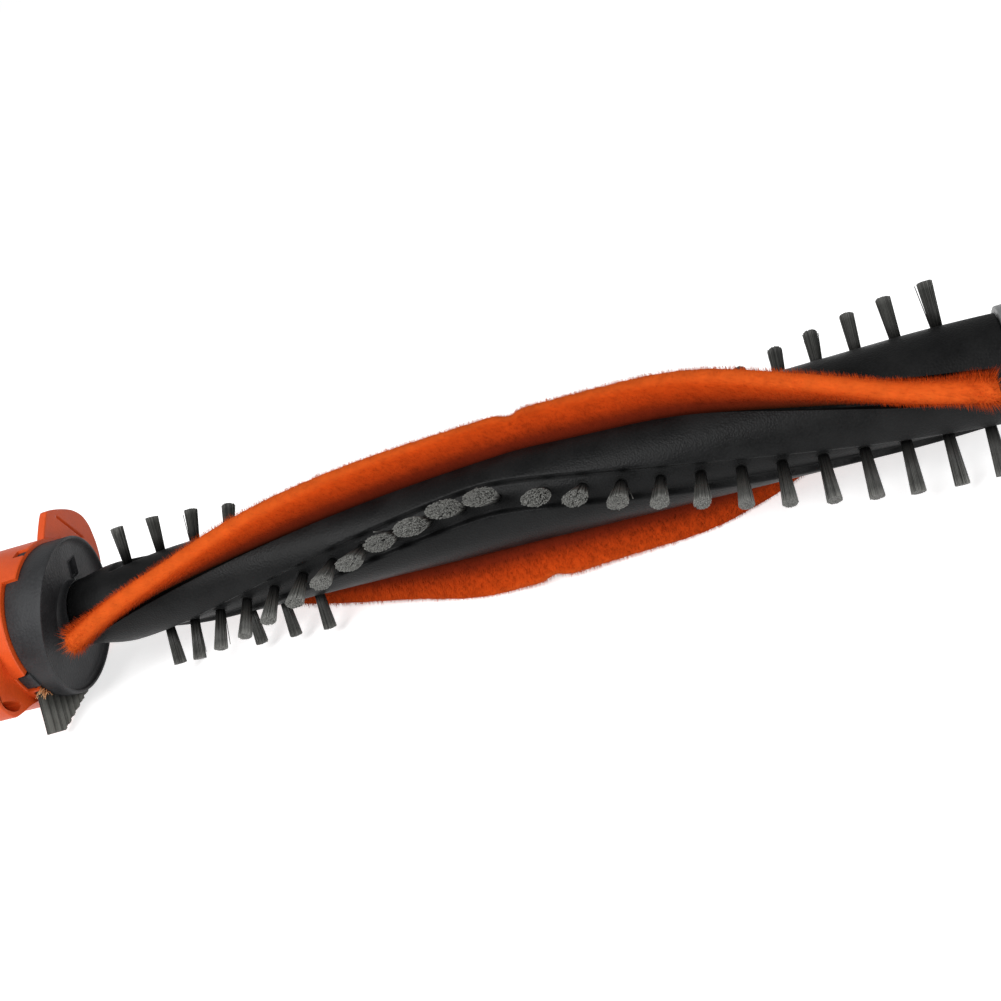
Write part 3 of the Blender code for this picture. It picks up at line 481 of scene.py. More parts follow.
def make_core(look):
    """Closed shell: the skin, both end faces and the bore. Stations are
    closer at its ends and at the ends of the channels and seats."""
    stations = np.linspace(*CORE_ENDS, 300)
    extra = [CORE_ENDS[0] + 0.15, CORE_ENDS[0] + 0.4, CORE_ENDS[1] - 0.4,
             CORE_ENDS[1] - 0.15]
    for end in (*CHANNEL_ENDS, *SEAT_ENDS):
        extra += list(np.linspace(end - 1.2, end + 1.2, 9))
    stations = np.unique(np.round(np.concatenate([stations, extra]), 3))
    stations = stations[(stations >= CORE_ENDS[0])
                        & (stations <= CORE_ENDS[1])]
    halves = [core_half(stations, 0.0), core_half(stations, 180.0)]
    clocks = np.concatenate([half[0] for half in halves], 1)
    radii = np.concatenate([half[1] for half in halves], 1)
    edge = np.minimum(stations - CORE_ENDS[0], CORE_ENDS[1] - stations)
    edge = np.clip(edge / SKIN_EDGE, 0.0, 1.0)
    radii -= SKIN_EDGE * (1.0 - np.sqrt(edge))[:, None]
    grid = on_roller(stations[:, None], radii, clocks)
    bore = [on_roller(end, BORE, clocks[index])[None]
            for end, index in ((CORE_ENDS[1], -1), (CORE_ENDS[0], 0))]
    grid = np.concatenate([grid, *bore])
    add_piece("core_shell", grid,
              [cells(len(grid), grid.shape[1], loop=True)], look, "roller",
              ("roller_core",))


# Tufts

CLUMPS = 11
CLUMP_PULL = 0.07
STRAY_SHARE = 0.004
ROOT_HALF = (1.25, 1.2)
ALONG = np.array([1.0, 0.0, 0.0])


def tuft(station, clock, floor, tip, rng, count, spread=0.0):
    """One bundle: each strand starts on a small round root and ends on a
    wider tip, drawn towards the nearest of a few clumps. The spread is 0
    for a straight, flat-cut tuft and 1 for a well splayed one, whose top is
    a dome that falls with the square of the distance from its middle."""
    reach = np.sqrt(rng.random(count))[:, None]
    angle = rng.random(count) * 2.0 * np.pi
    spot = reach * np.stack([np.cos(angle), np.sin(angle)], 1)
    clumps = rng.uniform(-0.85, 0.85, (CLUMPS, 2))
    near = np.argmin(((spot[:, None] - clumps[None]) ** 2).sum(-1), 1)
    head = spot * (1.0 - CLUMP_PULL) + clumps[near] * CLUMP_PULL
    stray = rng.random(count) < STRAY_SHARE
    head[stray] *= rng.uniform(1.15, 1.5, (stray.sum(), 1))
    lean = rng.normal(0.0, 0.22, 2)
    lean[0] -= 1.2 * spread * ease(station, 8.0, -8.0)
    out, side = outward(np.array(clock)), sideways(np.array(clock))
    foot = on_roller(station, floor, clock)
    roots = (foot + spot[:, :1] * ROOT_HALF[0] * ALONG
             + spot[:, 1:] * ROOT_HALF[1] * side)
    drop = ((0.3 + 0.5 * spread) * rng.random(count) ** 2
            + 0.9 * spread * (spot ** 2).sum(1)
            + stray * rng.uniform(0.2, 1.6, count))
    half = np.array([1.8 + 3.3 * spread, 1.7 + 0.7 * spread])
    shift = head * half + lean + rng.normal(0.0, 0.06, head.shape)
    tips = (foot + out * (tip - floor - drop)[:, None]
            + shift[:, :1] * ALONG + shift[:, 1:] * side)
    bows = rng.normal(0.0, 0.08, (count, 3)) + np.where(
        stray[:, None], rng.normal(0.0, 0.25, (count, 3)), 0.0)
    return roots, tips, bows


ROOT_SUNK = 0.25
STRAND_HALF = (0.13, 0.14)     # half thickness at root and tip
STRAND_POINTS = 6


def make_row(name, look, stations, line, node, rng, count=690, floor=None,
             splay=1.0):
    """Row of tufts, each one standing straight out of its channel. Those
    near the point of the V are the most splayed."""
    parts = []
    for station in stations:
        base = FLOOR * taper(station) if floor is None else floor
        parts.append(tuft(station, line(np.array(station)),
                          base - ROOT_SUNK, TUFT_TIP * taper(station), rng,
                          count, splay * hump(station, -18.0, 42.0)))
    roots, tips, bows = (np.concatenate([part[index] for part in parts])
                         for index in range(3))
    points, faces, along = strands(roots, tips, bows, STRAND_HALF, 1)
    pick = np.repeat(rng.random(len(roots)), STRAND_POINTS)
    add_strands(name, points, faces, look, "roller", (node,),
                along, pick, 0.15)


def make_rows(look):
    """Both Vs of tufts, and the short row, whose tufts are straight."""
    rng = np.random.default_rng(SEED)
    for tag, first, count, turn in TUFT_ROWS:
        stations = first + TUFT_PITCH * np.arange(count)
        make_row("tufts_" + tag, look, stations,
                 lambda station, turn=turn: row_line(station) + turn,
                 "bristle_row_" + tag, rng)
    first, pitch, count, clock = SHORT_ROW
    make_row("tufts_short", look, first + pitch * np.arange(count),
             lambda station: np.array(clock), "short_row", rng, 500,
             LAND * taper(first) - 1.0, 0.0)


def make_holes(look):
    """Dark round sockets round the roots of the tufts: low cups whose rim
    lies on the channel's floor, from a profile of (radius, height)."""
    points, faces = [], []
    profile = ((1.6, -0.5), (1.7, 0.02), (1.95, 0.025), (2.05, -0.3))
    sides = 20
    angle = np.linspace(0.0, 2.0 * np.pi, sides, endpoint=False)
    for _, first, count, turn in TUFT_ROWS:
        for station in first + TUFT_PITCH * np.arange(count):
            clock = row_line(np.array(station)) + turn
            floor = FLOOR * taper(station)
            out, side = outward(clock), sideways(clock)
            foot = on_roller(station, floor, clock)
            grid = np.stack([
                foot + out * height
                + np.cos(angle)[:, None] * radius * ALONG
                + np.sin(angle)[:, None] * radius * side
                for radius, height in profile])
            faces.append(cells(len(profile), sides, loop=True,
                               start=len(points) * len(profile) * sides))
            points.append(grid)
    add_piece("tuft_sockets", points, [np.concatenate(faces)], look,
              "roller")


# Pile

# Half width of a strip and the share of its height there, foot to crown
PILE_SIDE = np.array([(2.6, 0.0), (2.75, 0.16), (3.05, 0.45), (3.3, 0.7),
                      (3.15, 0.85), (2.5, 0.94), (1.35, 0.985), (0.0, 1.0)])
PILE_HEIGHT = 11.0         # about, for even steps along the side
PILE_FOOT = 0.3            # gap under the strip
PILE_FIBRES = 22800        # in one arm
FIBRE_HALF = 0.09
BODY_INSET, FIBRE_INSET = 0.93, 0.96
# What the crown gains or loses, as size, middle and half length
FRONT_FULLNESS = ((1.8, -8.0, 32.0), (0.9, 45.0, 24.0),
                  (1.8, -24.0, 14.0), (1.8, 53.0, 14.0))
REAR_FULLNESS = ((0.8, -62.0, 34.0), (-2.0, -108.0, 18.0))


def pile_profile(share):
    """Half width and height across the strip: share 0 and 1 are its two
    feet and 0.5 its crown, at even steps along the side's sections."""
    spacing = np.concatenate(([0.0], np.cumsum(np.hypot(
        np.diff(PILE_SIDE[:, 0]), np.diff(PILE_SIDE[:, 1]) * PILE_HEIGHT))))
    spacing /= spacing[-1]
    from_foot = 1.0 - np.abs(1.0 - 2.0 * share)
    width = np.interp(from_foot, spacing, PILE_SIDE[:, 0])
    height = np.interp(from_foot, spacing, PILE_SIDE[:, 1])
    return np.where(share < 0.5, -width, width), height


def pile_point(station, share, turn, end, inset):
    """Point on the strip's skin, drawn in by the inset. Its crown and sides
    draw in by a soft pinch where two arms meet, and round off at the free
    end. The strips differ in where their crowns are fuller."""
    width, height = pile_profile(share)
    pinch = hump(station, 0.4, 2.8)
    fade = 1.0 - ease(np.abs(station - end), 0.0, 3.0)
    slim = (1.0 - 0.1 * hump(station, -108.0, 18.0)
            - 0.14 * hump(station, 84.0, 24.0))
    width = width * inset * (1.0 - 0.1 * pinch - 0.15 * fade) * slim
    full = humps(station, FRONT_FULLNESS if turn else REAR_FULLNESS)
    size = taper(station)
    root = PILE_SEAT * size + PILE_FOOT
    tall = ((PILE_TIP * size + full - root)
            * (1.0 - 0.1 * pinch - 0.1 * fade))
    radius = root + tall * height * (0.5 + 0.5 * inset)
    clock = pile_line(station) + turn + np.degrees(width / radius)
    return on_roller(station, radius, clock), height, clock


def make_pile_body(name, node, end, turn, look):
    """Soft body of a strip, carried along the V line. Three sine waves ripple
    its skin, and it lies flat where it meets the floor."""
    stations = np.linspace(min(end, 0.0), max(end, 0.0), 170)
    shares = np.linspace(0.0, 1.0, 35)
    station, share = np.meshgrid(stations, shares, indexing="ij")
    grid, height, clock = pile_point(station, share, turn, end, BODY_INSET)
    wave = (np.sin(station * 2.1 + share * 17.0) + np.sin(station * 0.83)
            + np.sin(station * 4.7 - share * 31.0)) * 0.05
    grid += outward(clock) * (wave * height)[..., None]
    ring = grid.shape[1]
    faces = [cells(len(stations), ring), np.arange(ring)[None],
             np.arange(ring)[None] + (len(stations) - 1) * ring]
    # The height across the strip is its colour mark: painted shade towards the
    # foot, painted light towards the crown.
    add_piece(name + "_body", grid, faces, look, "roller",
              (node,), {"along": height, "pick": np.full(height.size, 0.5)},
              recount=False, lowest=0.4)


def make_pile_fibres(name, node, end, turn, look, rng):
    """Fibres that grow out of a strip's body. They stand away from the axis,
    flare out at the brims, and are longer and looser near the free end."""
    count = PILE_FIBRES
    station = rng.uniform(min(end, 0.0), max(end, 0.0), count)
    share = rng.uniform(0.02, 0.98, count)
    skin, height, clock = pile_point(station, share, turn, end, FIBRE_INSET)
    width, _ = pile_profile(share)
    to_end = np.abs(station - end)
    loose, near = 1.0 - ease(to_end, 0.0, 13.0), 1.0 - ease(to_end, 0.0, 3.2)
    flare = (np.sign(width) * ease(np.abs(width), 1.0, 3.1)
             * (0.75 + 0.5 * loose))
    way = outward(clock) + sideways(clock) * flare[:, None]
    way[:, 0] += np.sign(end) * near * 1.1
    way += rng.normal(0.0, 0.15, way.shape)
    way /= np.linalg.norm(way, axis=1, keepdims=True)
    brim = ease(np.abs(width), 2.0, 3.1)
    proud = (0.15 + 1.2 * rng.random(count) ** 1.6
             + (0.7 * brim + 2.0 * loose) * rng.random(count)
             + near * 0.5)
    proud = np.where(height < 0.3, proud * 0.5, proud)
    tips = skin + way * proud[:, None]
    roots = tips - way * (proud + rng.uniform(1.2, 1.9, count))[:, None]
    points, faces, along = spikes(roots, tips, FIBRE_HALF)
    # Each fibre is coloured by its height on the strip, a little higher at its
    # tip: painted shade at the foot and painted light at the crown and tips.
    level = np.repeat(height, 4) - 0.08 + 0.14 * along
    pick = np.repeat(rng.random(count), 4)
    add_strands(name + "_fibres", points, faces, look, "roller",
                (node,), level, pick, 0.12)


def make_pile_strips(body_look, fibre_look):
    """Two plush strips of two arms each, from the point of the V."""
    rng = np.random.default_rng(SEED + 1)
    for side, end in zip(("left", "right"), PILE_ENDS):
        for tag, turn in (("rear", 0.0), ("front", 180.0)):
            name, node = f"pile_{side}_{tag}", f"pile_strip_{side}_{tag}"
            make_pile_body(name, node, end, turn, body_look)
            make_pile_fibres(name, node, end, turn, fibre_look, rng)


# Turned pieces

def along_profile(profile, spacing):
    """Points no further apart than the spacing, along straight lines
    between the profile's own points."""
    profile = np.asarray(profile, float)
    found = [profile[:1]]
    for first, second in zip(profile, profile[1:]):
        gap = np.linalg.norm(second - first)
        share = np.linspace(0.0, 1.0, max(2, int(gap / spacing) + 2))[1:]
        found.append(first + (second - first) * share[:, None])
    return np.concatenate(found)


def clocks_with(dense):
    """Clocks round a full turn, two degrees apart, and closer within the
    named spans (middle, half span, step)."""
    found = [np.arange(0.0, 360.0, 2.0)]
    for middle, half, step in dense:
        found.append(np.arange(middle - half, middle + half, step) % 360.0)
    return np.unique(np.round(np.concatenate(found), 3))


def turned(name, profile, clocks, look, body, stands_for, shape=None):
    """Closed profile of (station, radius) carried round the axis. The shape
    function moves stations and radii by their clock."""
    profile = np.asarray(profile, float)
    station = np.repeat(profile[:, :1], len(clocks), 1)
    radius = np.repeat(profile[:, 1:], len(clocks), 1)
    clock = np.broadcast_to(clocks[None], station.shape)
    if shape:
        station, radius = shape(station, radius, clock)
    add_piece(name, on_roller(station, radius, clock),
              [cells(len(profile), len(clocks), loop=True)], look, body,
              stands_for)


# The end plate

PLATE_EDGE = 22.9
LEAN, LEAN_CLOCK = 0.251, 87.7
WINDOW_PLACE = (13.9, 133.0)       # radius and clock of its middle
WINDOW_UPRIGHT = 105.0
FRAME_HALF, HOLE_HALF = (2.75, 1.95), (2.15, 1.35)
FRAME_SINK, HOLE_SINK, FRAME_RISE = 0.5, 2.6, 0.3


def face_rise(radius, clock):
    """The plate's face leans: it stands forward by a share of the height
    towards the leaning clock."""
    return LEAN * radius * np.cos(np.radians(clock - LEAN_CLOCK))


def plate_shape(station, radius, clock):
    """Leans the web and the rim, and sinks a framed window in the face."""
    turn = np.radians(clock)
    flat = np.stack([radius * np.cos(turn), radius * np.sin(turn)], -1)
    flat = flat - across_axis(*WINDOW_PLACE)
    up = across_axis(1.0, WINDOW_UPRIGHT)
    along, across = np.abs(flat @ up), np.abs(flat @ beside(up))
    frame_in, hole_in = (np.maximum(along - tall, across - wide)
                         for tall, wide in (FRAME_HALF, HOLE_HALF))
    face = (station > -145.2) & (radius > 10.6) & (radius < 21.0)
    sink = (FRAME_SINK * (1.0 - ease(frame_in, -0.12, 0.06))
            + HOLE_SINK * (1.0 - ease(hole_in, -0.12, 0.06))
            - FRAME_RISE * hump(frame_in, 0.12, 0.16))
    leaning = (station > -150.6) & ((radius > 10.01) | (station < -143.3))
    return (station - sink * face + face_rise(radius, clock) * leaning,
            radius)


def make_plate(look):
    """The dished plate. Its neck, face, rim and spigot are turned on one
    axis, with close rows where the window is."""
    rim, neck, edge = -143.3, 10.0, PLATE_EDGE
    face, web = rim - 1.6, rim - 3.8
    outline = ((-140.1, 9.6), (-140.1, neck - 0.2), (-140.15, neck - 0.05),
               (-140.4, neck), (face + 1.3, neck + 0.02),
               (face + 0.75, neck + 0.12), (face + 0.3, neck + 0.45),
               (face + 0.07, neck + 0.6), (face, neck + 0.75),
               (face, edge - 2.3), (face + 0.1, edge - 1.8),
               (face + 0.5, edge - 1.3), (rim - 0.5, edge - 1.0),
               (rim - 0.15, edge - 0.88), (rim, edge - 0.65),
               (rim, edge - 0.3), (rim - 0.1, edge - 0.1),
               (rim - 0.35, edge), (-150.6, edge), (-150.9, edge - 0.2),
               (-150.9, 21.6), (-156.0, 21.6), (-156.0, 20.1), (web, 20.1),
               (web, 9.6))
    profile = np.concatenate([along_profile(outline[:9], 0.6),
                              along_profile(outline[8:10], 0.14)[1:],
                              along_profile(outline[9:], 1.5)[1:]])
    clocks = clocks_with([(WINDOW_PLACE[1], 18.0, 0.4)])
    turned("plate_dish", profile, clocks, look, "end_cap_assembly",
           ("end_plate",), plate_shape)


# The cap

CAP_RADIUS = 24.2
CAP_BACK, CAP_LIP = -167.0, -151.3     # stations of the corner and the lip
SLOT_STATION, SLOT_CLOCK = -148.6, 95.5    # middle of the slot in the wall
SLOT_HALF, SLOT_DEPTH = 1.7, 1.95
TAB_HALF, TAB_RADIUS, TAB_FOOT = 1.62, 23.55, 22.6


def lip_place(clock):
    """Station of the cap's lip: forward along the tongue, and back where
    the hook and the edge brush stand."""
    clock = (clock + 180.0) % 360.0 - 180.0
    tongue = np.maximum(ease(clock, 69.6, 70.4),
                        1.0 - ease(clock, -168.4, -167.6))
    hook = ease(clock, -14.4, -13.6) * ease(clock, 1.4, 0.6)
    comb = ease(clock, -82.4, -81.6) * ease(clock, -15.6, -16.4)
    return CAP_LIP + 4.5 * tongue - np.maximum(3.4 * hook, 2.35 * comb)


def cap_shape(station, radius, clock):
    """Draws the wall to the lip's place, and sinks the slot in the wall."""
    share = np.clip((station - CAP_BACK) / (CAP_LIP - CAP_BACK), 0.0, 1.0)
    station = station + share * (lip_place(clock) - CAP_LIP)
    side = np.radians(clock - SLOT_CLOCK) * CAP_RADIUS
    away = np.maximum(np.abs(station - SLOT_STATION), np.abs(side))
    sink = SLOT_DEPTH * (1.0 - ease(away - SLOT_HALF, -0.15, 0.1))
    return station, radius - sink * (radius > 23.0)


def make_cap(look):
    """The cap's shell, turned, with close rows at the slot and where its lip
    steps forward or back."""
    profile = [(-170.0, 0.02), (-170.0, 20.8), (-169.75, 22.0),
               (-169.1, 23.2), (-168.1, 23.95), (CAP_BACK, CAP_RADIUS),
               (-151.55, CAP_RADIUS), (CAP_LIP, 23.95), (CAP_LIP, 22.1),
               (-166.5, 22.1), (-166.5, 0.02)]
    fine = np.concatenate([along_profile(profile[:6], 1.2),
                           along_profile(profile[5:8], 0.3)[1:],
                           along_profile(profile[7:], 1.5)[1:]])
    steps = [(clock, 1.0, 0.2)
             for clock in (70.0, 192.0, -14.0, 1.0, -82.0, -16.0)]
    clocks = clocks_with([(SLOT_CLOCK, 6.0, 0.25)] + steps)
    turned("cap_shell", fine, clocks, look, "end_cap_assembly",
           ("end_cap",), cap_shape)


def make_slot_tab(look):
    """The plate's tab inside the cap's slot: a small pillow whose radius
    falls with the square of the distance from its middle."""
    across = np.linspace(-1.0, 1.0, 15)
    row, column = np.meshgrid(across, across, indexing="ij")
    radius = TAB_RADIUS - 0.12 * (row ** 2 + column ** 2)
    station = SLOT_STATION + TAB_HALF * row
    clock = SLOT_CLOCK + np.degrees(TAB_HALF * column / CAP_RADIUS)
    grid = np.concatenate([on_roller(station, radius, clock),
                           on_roller(station, TAB_FOOT, clock)])
    count = len(across)
    top = cells(count, count, around=False)
    rim = np.concatenate([np.arange(count), count * np.arange(1, count)
                          + count - 1, count * count - 2
                          - np.arange(count - 1),
                          count * np.arange(count - 2, 0, -1)])
    side = np.stack([rim, np.roll(rim, -1), np.roll(rim, -1) + count ** 2,
                     rim + count ** 2], 1)
    under = top[:, ::-1] + count ** 2
    add_piece("plate_tab", grid, [top, under, side], look,
              "end_cap_assembly")


def smooth_loop(outline, count):
    """Closed curve through the outline's points, by cubic blending between
    neighbours, taken at even steps. Points are (radius, clock)."""
    flat = across_axis(*np.array(outline, float).T).T
    before, after = np.roll(flat, 1, 0), np.roll(flat, -1, 0)
    beyond = np.roll(flat, -2, 0)
    t = np.linspace(0.0, 1.0, 12, endpoint=False)[None, :, None]
    curve = 0.5 * (2.0 * flat[:, None] + (after - before)[:, None] * t
                   + (2.0 * before - 5.0 * flat + 4.0 * after
                      - beyond)[:, None] * t ** 2
                   + (3.0 * flat - before - 3.0 * after
                      + beyond)[:, None] * t ** 3)
    curve = curve.reshape(-1, 2)
    gaps = np.linalg.norm(np.diff(curve, axis=0, append=curve[:1]), axis=1)
    length = np.concatenate(([0.0], np.cumsum(gaps)))
    spots = np.linspace(0.0, length[-1], count, endpoint=False)
    curve = np.concatenate([curve, curve[:1]])
    return np.stack([np.interp(spots, length, curve[:, 0]),
                     np.interp(spots, length, curve[:, 1])], 1)


def in_roller(flat, station):
    """Points of the plane square to the axis, at a station."""
    station = np.broadcast_to(station, flat.shape[:-1])
    return np.stack([APEX[0] + station, APEX[1] - flat[..., 0],
                     APEX[2] + flat[..., 1]], -1)


def make_wing(name, outline, front, back, look, pocket=None, depth=0.0,
              bevel=0.45, centre=None, count=160, mark=None):
    """Flat wing with rounded edges: rings of its outline, drawn in towards
    its centre by a quarter round at both faces; a pocket sinks its face."""
    loop = smooth_loop(outline, count)
    middle = across_axis(*centre) if centre else loop.mean(0)
    reach = np.linalg.norm(loop - middle, axis=1, keepdims=True)
    rings = []
    quarter = np.linspace(0.0, np.pi / 2.0, 5)
    for face, round_off, angles in ((back, bevel, quarter),
                                    (front, -bevel, quarter[::-1])):
        for angle in angles:
            inward = bevel * (1.0 - np.sin(angle))
            rings.append((loop + (middle - loop) * inward / reach,
                          face + round_off * (1.0 - np.cos(angle))))
    if pocket is not None:
        hollow = smooth_loop(pocket, count)
        shift = np.argmin(np.linalg.norm(hollow - loop[0], axis=1))
        hollow = np.roll(hollow, -shift, 0)
        inner = hollow.mean(0)
        for draw, station in ((-0.03, front), (0.0, front - 0.15),
                              (0.03, front - depth)):
            rings.append((hollow + (inner - hollow) * draw, station))
        rings.append((inner + (hollow - inner) * 0.02, front - depth))
    else:
        brim = rings[-1][0]
        for share in np.linspace(0.0, 0.98, 22)[1:]:
            rings.append((middle + (brim - middle) * (1.0 - share), front))
    rings.insert(0, (middle + (loop - middle) * 0.02, back))
    grid = np.stack([in_roller(flat, station) for flat, station in rings])
    if mark is not None:
        flats = np.stack([flat for flat, station in rings])
        grid[..., 0] -= mark(flats) * (grid[..., 0] > APEX[0] + front - 0.05)
    ends = [np.arange(count)[None], np.arange(count)[None]
            + (len(rings) - 1) * count]
    add_piece(name, grid, [cells(len(rings), count), *ends], look,
              "end_cap_assembly", sharp=50.0)


def ear_crease(flats):
    """A short sunk crease across the ear's face."""
    first, second = across_axis(31.2, 140.0), across_axis(29.4, 163.0)
    line = second - first
    share = np.clip(((flats - first) @ line) / (line @ line), 0.0, 1.0)
    away = np.linalg.norm(flats - first - share[..., None] * line, axis=-1)
    return 0.7 * (1.0 - ease(away, 0.05, 0.55))


def make_wings(orange, black):
    """The cap's ear, its lug with a pocket, and the plate's hook."""
    ear = [(23.7, 122.0), (31.1, 130.0), (32.8, 133.4), (34.5, 144.0),
           (36.1, 153.0), (36.6, 160.0), (35.7, 166.0), (34.0, 171.0),
           (32.3, 176.0), (30.0, 182.0), (27.3, 188.0), (23.7, 194.0)]
    root = [(PLATE_EDGE, clock) for clock in np.linspace(190.0, 126.0, 9)]
    make_wing("cap_ear", ear + root, -147.6, -150.2, orange,
              centre=(28.5, 157.0), mark=ear_crease)
    lug = [(23.7, -30.0), (26.5, -22.0), (31.0, -15.0), (33.3, -11.0),
           (34.1, -5.0), (34.25, 1.0), (33.0, 10.0), (29.5, 17.0),
           (23.7, 23.0)]
    root = [(PLATE_EDGE, clock) for clock in np.linspace(19.0, -26.0, 7)]
    make_wing("cap_lug", lug + root, -155.4, -164.5, orange,
              pocket=[(28.3, -11.0), (30.2, -12.2), (32.1, -9.0),
                      (33.1, -4.6), (33.1, -0.9), (31.5, -2.0)], depth=5.0)
    hook = [(21.2, -12.6), (22.5, -13.0), (23.6, -12.4), (23.7, -6.5),
            (23.6, -0.6), (22.5, 0.0), (21.2, -0.4), (21.1, -6.5)]
    make_wing("plate_hook", hook, -150.2, -154.4, black,
              bevel=0.3, count=80)


# The edge brush

COMB_SIDES = (15.6, -13.4)     # its ends, across the way it points
COMB_CLOCK = -56.0             # the way it points
COMB_STATION = -152.3
COMB_ROOT = 22.35              # radius where its bristles start
COMB_BEND = 8.4                # where its slant starts
COMB_BRISTLES, FLUTES = 3000, 10
COMB_HALF = (0.13, 0.12)       # half thickness at root and tip
WISPS = 60
WISP_HALF = (0.12, 0.07)


def comb_reach(side):
    """How far the comb reaches at a distance across it: two straight lines
    that meet at the bend."""
    return np.where(side > COMB_BEND,
                    31.3 + 0.5 * (COMB_SIDES[0] - side) / 7.2,
                    31.8 - 12.3 * (COMB_BEND - side) / 21.8)


def make_edge_brush(look, pale):
    """Parallel bristles in flutes, cut on a slant at their tips, and a wisp
    of short pale ones beside them."""
    rng = np.random.default_rng(SEED + 2)
    count = COMB_BRISTLES
    flute = rng.integers(0, FLUTES, count)
    inside = rng.beta(1.25, 1.25, count)
    width = (COMB_SIDES[0] - COMB_SIDES[1]) / FLUTES
    side = COMB_SIDES[0] - (flute + inside) * width
    reach = comb_reach(side) - 0.25 * rng.random(count) ** 2
    down = across_axis(1.0, COMB_CLOCK)
    across = beside(down)
    start = np.sqrt(np.maximum(COMB_ROOT ** 2 - side ** 2, 1.0))
    ridge = np.sin(np.pi * inside)
    deep = rng.uniform(-1.0, 1.0, count)
    station = COMB_STATION + deep * (0.25 + 0.72 * ridge)
    roots = in_roller(start[:, None] * down + side[:, None] * across, station)
    spread = side + rng.normal(0.0, 0.05, count)
    tips = in_roller(reach[:, None] * down + spread[:, None] * across,
                     station + rng.normal(0.0, 0.05, count))
    bows = rng.normal(0.0, 0.04, (count, 3))
    points, faces, along = strands(roots, tips, bows, COMB_HALF, 1)
    # The bristles at the sides of each flute are darker, painted shade between
    # the flutes, over a random tone.
    pick = np.repeat(rng.random(count) * 0.35 + 0.65 * ridge,
                     STRAND_POINTS)
    add_strands("edge_bristles", points, faces, look, "end_cap_assembly",
                ("edge_brush",), 0.35 + 0.65 * along, pick, 0.1)
    count = WISPS
    spot = rng.uniform(0.0, 1.0, count)
    roots = on_roller(-151.2 + rng.normal(0.0, 0.3, count),
                      PLATE_EDGE, -24.0 + 9.0 * spot)
    way = outward(np.full(count, -12.0))
    tips = roots + way * rng.uniform(0.8, 2.6, count)[:, None]
    tips += rng.normal(0.0, 0.6, tips.shape)
    points, faces, along = strands(roots, tips, bows[:count], WISP_HALF, 3)
    pick = np.repeat(rng.random(count), 12)
    add_strands("pale_wisp", points, faces, pale, "end_cap_assembly",
                (), along, pick, 0.0)


# The drive end

def make_ring(look):
    """The light ring in the core's end, with a rounded rim."""
    profile = ((122.2, 12.4), (122.2, 14.2), (122.4, 14.55), (122.8, 14.7),
               (126.2, 14.7), (126.7, 14.5), (127.0, 14.05), (127.0, 12.9),
               (126.7, 12.4))
    turned("ring_shell", along_profile(profile, 0.9), clocks_with([]), look,
           "roller", ("drive_end_ring",))


# Floor and light

FLOOR_SHADE = 0.86
FLOOR_GLOW = 0.62
FLOOR_REACH = 6.0          # metres, from the middle to each side
WORLD_LIGHT = 0.42
# Lamps: name, place, side and power, in metres and watts
LAMPS = (("key", (-0.35, -0.55, 0.75), 0.5, 6.5),
         ("fill", (0.6, -0.65, 0.2), 0.5, 3.6))


def add_floor():
    """Pale floor that catches shadows. It glows for the camera, and for rays
    that were mirrored or went through something, but lights nothing."""
    look, tree, shader = new_look("pale_floor")
    tree.nodes.remove(shader)
    matt = new_node(tree, "BsdfDiffuse",
                    {"Color": (FLOOR_SHADE,) * 3 + (1.0,)})
    path = tree.nodes.new("ShaderNodeLightPath")
    seen = maths(tree, "ADD", path.outputs["Is Camera Ray"],
                 path.outputs["Is Glossy Ray"])
    seen = maths(tree, "ADD", seen, path.outputs["Is Transmission Ray"])
    glow = new_node(tree, "Emission", {
        "Strength": maths(tree, "MULTIPLY", seen, FLOOR_GLOW)})
    both = new_node(tree, "AddShader", {0: matt.outputs[0],
                                        1: glow.outputs[0]})
    feed(tree, tree.nodes["Material Output"], {0: both.outputs[0]})
    mesh = bpy.data.meshes.new("floor")
    far = FLOOR_REACH
    mesh.from_pydata([(-far, -far, 0.0), (far, -far, 0.0), (far, far, 0.0),
                      (-far, far, 0.0)], [], [(0, 1, 2, 3)])
    mesh.materials.append(look)
    floor = bpy.data.objects.new("floor", mesh)
    bpy.context.scene.collection.objects.link(floor)


def add_light():
    """White world and two square lamps that aim at the brush."""
    world = bpy.data.worlds.new("studio")
    world.use_nodes = True
    tree = world.node_tree
    ground = tree.nodes["Background"]
    ground.inputs["Color"].default_value = (1.0, 1.0, 1.0, 1.0)
    ground.inputs["Strength"].default_value = WORLD_LIGHT
    bpy.context.scene.world = world
    for name, place, size, power in LAMPS:
        data = bpy.data.lights.new(name, "AREA")
        data.shape = "SQUARE"
        data.size = size
        data.energy = power
        lamp = bpy.data.objects.new(name, data)
        lamp.location = place
        aim = Vector((0.0, 0.0, 0.02)) - Vector(place)
        lamp.rotation_euler = aim.to_track_quat("-Z", "Y").to_euler()
        bpy.context.scene.collection.objects.link(lamp)


# Putting it together

